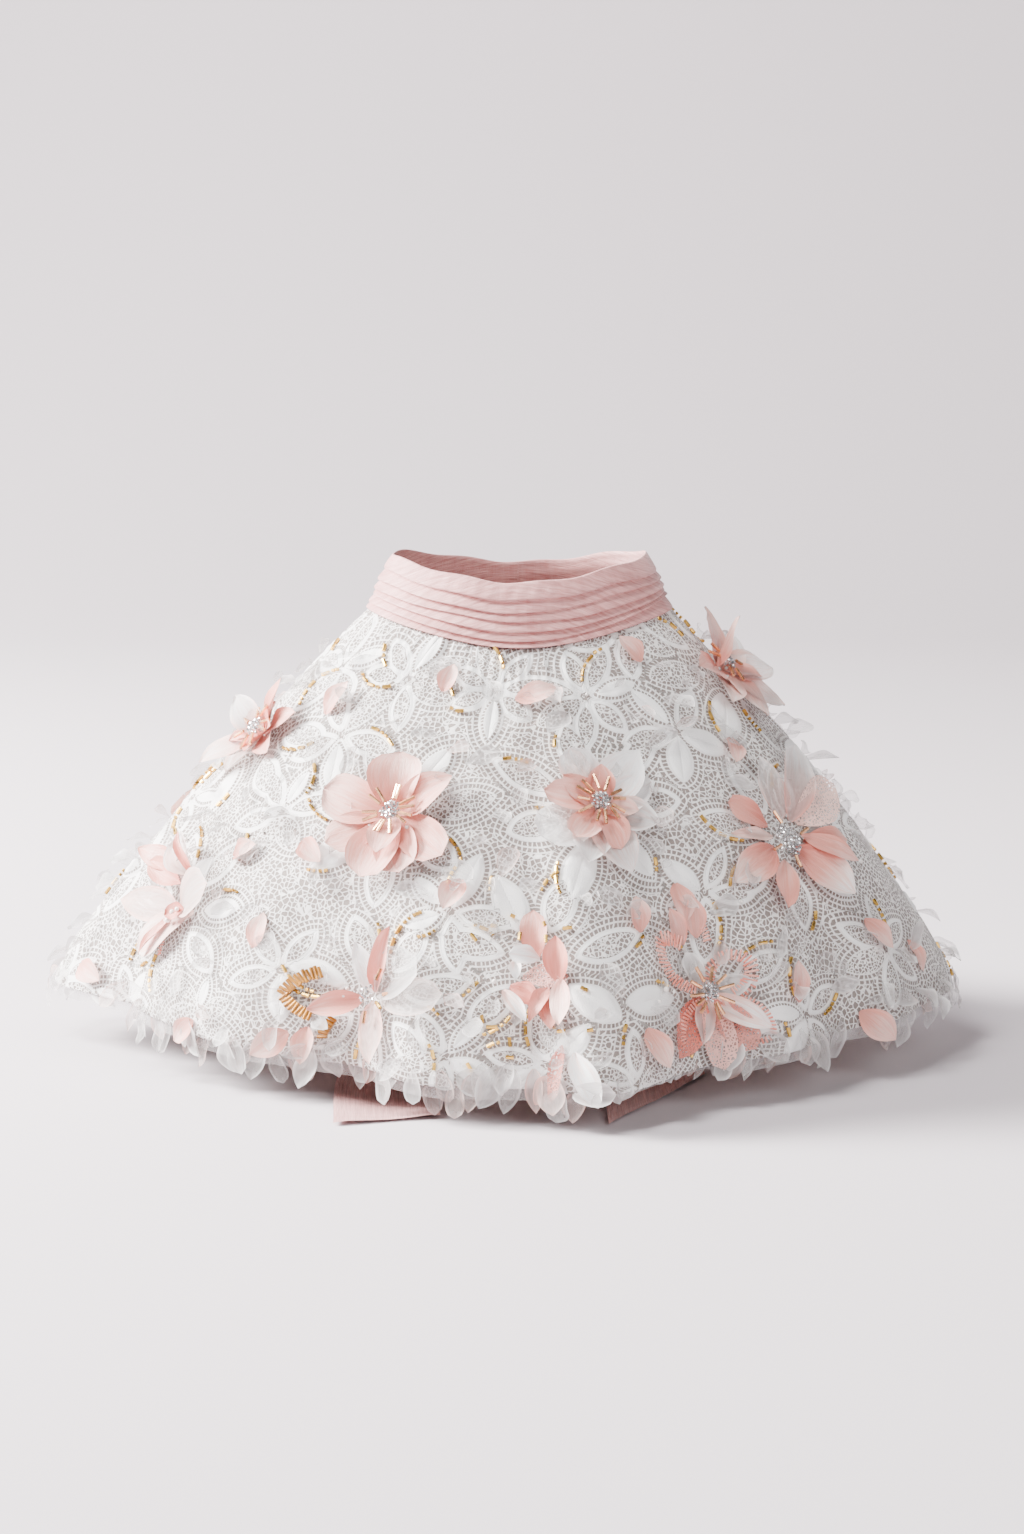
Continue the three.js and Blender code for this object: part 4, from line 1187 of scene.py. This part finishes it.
# Beads sewn on one by one: flower, place across, down and out from its centre, heading, length
laidBeads = [
    (8, 6, -14, 6, 0, 5), (8, 5, -24, 5, 20, 3), (8, -12, -15, 6, -8, 5), (8, -16, -29, 3, 60, 3),
    (8, 17, -23, 2, 90, 6), (8, -28, -23, 2, 80, 4), (8, -41, -15, 2, 35, 6), (8, 25, 16, 2, 60, 5),
    (8, 13, 44, 3, 85, 5), (8, 27, 42, 2, 95, 4), (8, -36, 38, 2, 5, 5), (8, -30, 43, 2, 90, 7),
    (8, -19, 53, 2, 5, 6), (8, -19, 63, 2, 85, 5), (8, -44, 70, 2, 30, 6), (6, 7.6, 4.6, 6, 55, 6),
]
laidRods = [(6, 0, 14, 9, 0, 8), (6, 8, -13, 12, -15, 8), (6, 12, -3, 6, 100, 5)]


def spotFrame(place, across, along, out, tilt=0.0, turn=0.0):
    near = 0.5
    centre, right, ahead = place(
        np.array([across, across + near, across]), np.array([along, along, along + near]),
        np.full(3, out))
    xAxis, yAxis = Vector(right - centre).normalized(), Vector(ahead - centre).normalized()
    normal = yAxis.cross(xAxis).normalized()
    xAxis = normal.cross(yAxis) * -1
    frame = Matrix((xAxis, yAxis, normal)).transposed().to_4x4()
    frame.translation = Vector(centre) * mm
    return frame @ Matrix.Rotation(turn, 4, "Z") @ Matrix.Rotation(tilt, 4, "X")


def bugle(bm, frame, long, wide):  # lies along the frame's Y
    bmesh.ops.create_cone(
        bm, cap_ends=True, segments=6, radius1=wide * mm, radius2=wide * mm, depth=long * mm,
        matrix=frame @ Matrix.Rotation(-math.pi / 2, 4, "X"))


def beadMaterial(name, color, roughness, metallic, spread):
    material, tree, shader = newMaterial(name, color, roughness, Metallic=metallic)
    patches = softNoise(tree, 160.0)
    dark = tuple(channel * (1 - spread) for channel in color)
    feed(tree, blendColor(tree, ramp(tree, patches, 0.35, 0.65), dark, color), shader)
    feed(tree, ramp(tree, patches, 0.3, 0.7, roughness, roughness + 0.12), shader, "Roughness")
    return material


def layBeads(bm, beads, wide):
    for flower, across, down, out, heading, long in beads:
        place = flowerSpot(flowerPlaces[flower])
        bugle(bm, spotFrame(place, across, down, out, turn=math.radians(heading)), long, wide)


def makeHearts(rose, glass):
    work = beadWork
    rng = np.random.default_rng(work["seed"])
    rods, stones = bmesh.new(), bmesh.new()
    for index, flower in enumerate(flowerPlaces):
        place = flowerSpot(flower)
        broad, deep, sink = work["lowHeart"] if index == 2 else (1, 1, 0)
        count = work["rods"].get(index, work["usualRods"])
        for step in range(count):
            heading = tau * step / count + rng.uniform(-0.2, 0.2)
            long = work["bugleLong"] * rng.uniform(0.85, 1.25)
            reach = work["rodStart"] * broad + long / 2
            frame = spotFrame(
                place, reach * math.sin(heading), reach * math.cos(heading),
                work["rodHeight"] - sink + rng.uniform(-0.5, 1.0), turn=heading,
                tilt=rng.uniform(-0.1, 0.12))
            bugle(rods, frame, long, work["bugleWide"])
        count = work["stones"].get(index, work["usualStones"])
        for step in range(count):
            share = (step + 0.5) / count
            heading, reach = step * 2.4, work["stoneReach"] * math.sqrt(share)
            frame = spotFrame(
                place, reach * math.sin(heading) * broad, reach * math.cos(heading) * deep,
                work["stoneHeight"] - sink + work["dome"] * math.cos(share * 1.5),
                turn=rng.uniform(0, tau), tilt=rng.uniform(0, 3))
            bmesh.ops.create_icosphere(
                stones, subdivisions=1, radius=work["crystal"] * rng.uniform(0.8, 1.15) * mm,
                matrix=frame)
    layBeads(rods, laidRods, work["bugleWide"])
    finishPiece(rods, "heartBugles", rose, shade=False)
    finishPiece(stones, "heartCrystals", glass, shade=False)


goldBead = beadMaterial("goldBead", beadWork["gold"], 0.24, 0.85, 0.35)
roseBead = beadMaterial("roseBead", beadWork["rose"], 0.2, 0.8, 0.3)
crystalBead = beadMaterial("crystalBead", beadWork["glass"], 0.12, 0.75, 0.45)
makeHearts(roseBead, crystalBead)


def leafOutline(rosette, leaf, side, part, away):  # a point beside the leaf, with its heading
    half, long = rosette["half"], leaf["long"]
    radius = ((long / 2) ** 2 + half * half) / (2 * half)
    swing = math.asin(min(1, long / 2 / radius)) * part
    across = side * ((radius + away) * math.cos(swing) - (radius - half))
    along = (radius + away) * math.sin(swing) + rosette["start"] + long / 2
    cos, sin = math.cos(leaf["heading"]), math.sin(leaf["heading"])
    return across * cos + along * sin, along * cos - across * sin, leaf["heading"] - side * swing


def makeStrings():
    work = beadWork
    rng = np.random.default_rng(work["seed"] + 1)
    rods = bmesh.new()
    for rosette in rosettes:
        nearFlower = rosette["flower"] and rosette["drop"] < 0.86
        place = skirtSpot(rosette["angle"], rosette["drop"])
        for leaf in rosette["leaves"]:
            if rng.uniform() > work["strung"][0 if nearFlower else 1]:
                continue
            side, part = (-1, 1)[rng.integers(2)], rng.uniform(-0.7, 0.5)
            for _ in range(int(rng.integers(2, 7))):
                short = rng.uniform() < work["shortShare"]
                long = rng.uniform(*work["short" if short else "long"])
                part += (long + work["gap"]) / leaf["long"]
                if part > 0.9:
                    break
                across, along, heading = leafOutline(rosette, leaf, side, part, work["aside"])
                if rosette["drop"] + along / hemWork["slope"] > 0.975:
                    break
                frame = spotFrame(place, across, along, work["height"], turn=heading)
                bugle(rods, frame, long, work["bugleWide" if short else "stringWide"])
                part += (long + work["gap"]) / leaf["long"]
    layBeads(rods, laidBeads, work["stringWide"])
    return finishPiece(rods, "laceBugles", goldBead, shade=False)


laceBugles = makeStrings()

# Raised stitching: bars of silk or gold thread laid side by side along the outlines of lace leaves
stitchWork = {
    "seed": 5, "pitch": {"coral": 2.0, "gold": 2.2}, "wide": {"coral": 0.72, "gold": 1.3}, "height": 4.0,
    # flower, the leaf's heading, length, half width and start, then the bars: their side, from where to
    # where along the leaf they run, how long they are and of which thread
    "rows": [
        (7, -148, 42, 11, 5, 1, -0.85, 0.99, 5.5, "coral"),
        (7, -148, 42, 11, 5, -1, 0.35, 0.99, 6.5, "coral"),
        (7, 176, 50, 7, 6, -1, 0.1, 0.9, 3.6, "coral"),
        (7, 116, 32, 12, 5, 1, -0.8, 0.99, 5.5, "coral"),
        (7, 116, 32, 12, 5, -1, -0.2, 0.99, 7.5, "coral"),
        (7, 50, 40, 12, 12, 1, -0.9, 0.95, 3.2, "coral"),
        (7, 50, 40, 12, 12, -1, -0.6, 0.95, 2.8, "coral"),
        (7, -34, 36, 9, 5, -1, -0.9, 0.8, 3.4, "coral"),
        (7, -34, 36, 9, 5, 1, 0.3, 0.9, 3.8, "coral"),
        (6, -83, 55, 14, 8, -1, 0.1, 0.99, 6.0, "gold"),
        (6, -83, 55, 14, 8, 1, 0.3, 0.99, 5.4, "gold"),
        (6, -36, 40, 12, 14, -1, -0.1, 0.5, 5.0, "gold"),
        (4, 8, 30, 4, 8, -1, -0.8, 0.6, 2.2, "coral"),
    ],
    "coral": ((0.74, 0.2, 0.14), (0.86, 0.42, 0.34)), "gold": ((0.22, 0.08, 0.005), (0.46, 0.2, 0.02)),
}


def threadMaterial(kind, metallic):
    tones = stitchWork[kind]
    return grainedCloth(
        f"{kind}Thread", tones[0], tones, 0.38, 1500.0, 160.0, Metallic=metallic, Sheen_Weight=0.3,
        Sheen_Roughness=0.3)[0]


def makeStitches():
    work = stitchWork
    rng = np.random.default_rng(work["seed"])
    threads = {"coral": bmesh.new(), "gold": bmesh.new()}
    for flower, turn, long, half, start, side, part, end, bar, kind in work["rows"]:
        place = flowerSpot(flowerPlaces[flower])
        ring, leaf = {"half": half, "start": start}, {"heading": math.radians(turn), "long": long}
        while part < end:
            across, along, heading = leafOutline(ring, leaf, side, part, 0.0)
            slanted = heading + side * (math.pi / 2 - 0.2) + rng.uniform(-0.12, 0.12)
            frame = spotFrame(place, across, along, work["height"], turn=slanted)
            bugle(threads[kind], frame, bar * rng.uniform(1.2, 1.55), work["wide"][kind])
            part += 2 * work["pitch"][kind] / long
    for (kind, bm), metallic in zip(threads.items(), (0.0, 0.45)):
        finishPiece(bm, f"{kind}Stitches", threadMaterial(kind, metallic), shade=False)


makeStitches()

# Pearls: flower, place across and down from its centre, and radius
pearlWork = {
    "seed": 15, "pearl": (0.86, 0.84, 0.82), "shade": (0.9, 0.8, 0.74),
    "near": [
        (4, 3, 3, 1.9), (4, -2, 6, 1.7), (4, 2, 9, 1.8), (4, 7, 0, 1.6), (4, -22, -30, 1.4),
        (6, -36, -25, 1.9), (6, -20, -2, 1.2), (6, -22, 3, 1.2), (6, -28, 14, 1.2),
        (7, -31, -9, 1.8), (7, -25, -6, 1.2), (7, -38, -3, 1.2), (8, -28, 14, 1.6),
        (2, 58, 30, 1.5), (2, 44, -20, 1.3), (0, 1, 14, 1.5), (0, -12, 10, 1.4), (0, 13, 8, 1.4),
        (1, 10, 10, 1.3), (1, -8, 12, 1.3), (5, 3, 3, 1.4), (5, -5, 8, 1.3), (5, 8, -3, 1.3)],
    "loose": 46, "looseSize": (0.75, 1.2),
}


def makePearls():
    work = pearlWork
    rng = np.random.default_rng(work["seed"])
    pearls = bmesh.new()
    spots = [(flowerSpot(flowerPlaces[flower]), across, down, radius, 9 if flower == 4 else 5)
             for flower, across, down, radius in work["near"]]
    spots += [(skirtSpot(math.radians(rng.uniform(-180, 180)), rng.uniform(0.1, 0.97)), 0, 0,
               rng.uniform(*work["looseSize"]), 1.3) for _ in range(work["loose"])]
    for place, across, down, radius, height in spots:
        bmesh.ops.create_icosphere(
            pearls, subdivisions=2, radius=radius * mm, matrix=spotFrame(place, across, down, height))
    material, tree, shader = newMaterial(
        "seedPearl", work["pearl"], 0.22, Coat_Weight=0.5, Coat_Roughness=0.12)
    feed(tree, blendColor(tree, softNoise(tree, 260.0), work["shade"], work["pearl"]), shader)
    finishPiece(pearls, "seedPearls", material)


makePearls()
print("beads and stitching made")

# The studio
def addArea(name, place, target, size, power, color):
    data = bpy.data.lights.new(name, "AREA")
    data.size = size
    data.energy = power
    data.color = color
    lamp = bpy.data.objects.new(name, data)
    lamp.location = place
    lamp.rotation_euler = (Vector(target) - Vector(place)).to_track_quat("-Z", "Y").to_euler()
    bpy.context.scene.collection.objects.link(lamp)


def buildStudio():
    material, tree, shader = newMaterial("paperSweep", studio["floor"], 0.9)
    haze = softNoise(tree, 0.7)
    feed(tree, blendColor(tree, haze, studio["floor"], studio["floorShade"]), shader)
    turn, radius, half = studio["sweepTurn"], studio["sweepRadius"], studio["sweepHalf"]
    profile = [(studio["sweepFront"], 0.0)]
    for swing in np.linspace(0, math.pi / 2, 13):
        profile.append((turn + radius * math.sin(swing), radius * (1 - math.cos(swing))))
    profile.append((turn + radius, studio["sweepTop"]))
    bm = bmesh.new()
    verts = [bm.verts.new((-half, y, z + floorLevel * mm)) for y, z in profile]
    edges = [bm.edges.new(pair) for pair in zip(verts, verts[1:])]
    sweep = bmesh.ops.extrude_edge_only(bm, edges=edges)
    moved = [item for item in sweep["geom"] if isinstance(item, bmesh.types.BMVert)]
    bmesh.ops.translate(bm, verts=moved, vec=(2 * half, 0, 0))
    bmesh.ops.recalc_face_normals(bm, faces=bm.faces)
    newObject(bm, "paperSweep", material)
    for name, lamp in studio["lamps"].items():
        addArea(name, *lamp)
    world = bpy.data.worlds.new("studioWorld")
    world.use_nodes = True
    back = world.node_tree.nodes["Background"]
    back.inputs["Color"].default_value = (*studio["world"], 1)
    back.inputs["Strength"].default_value = studio["worldStrength"]
    bpy.context.scene.world = world


buildStudio()
print("studio made")
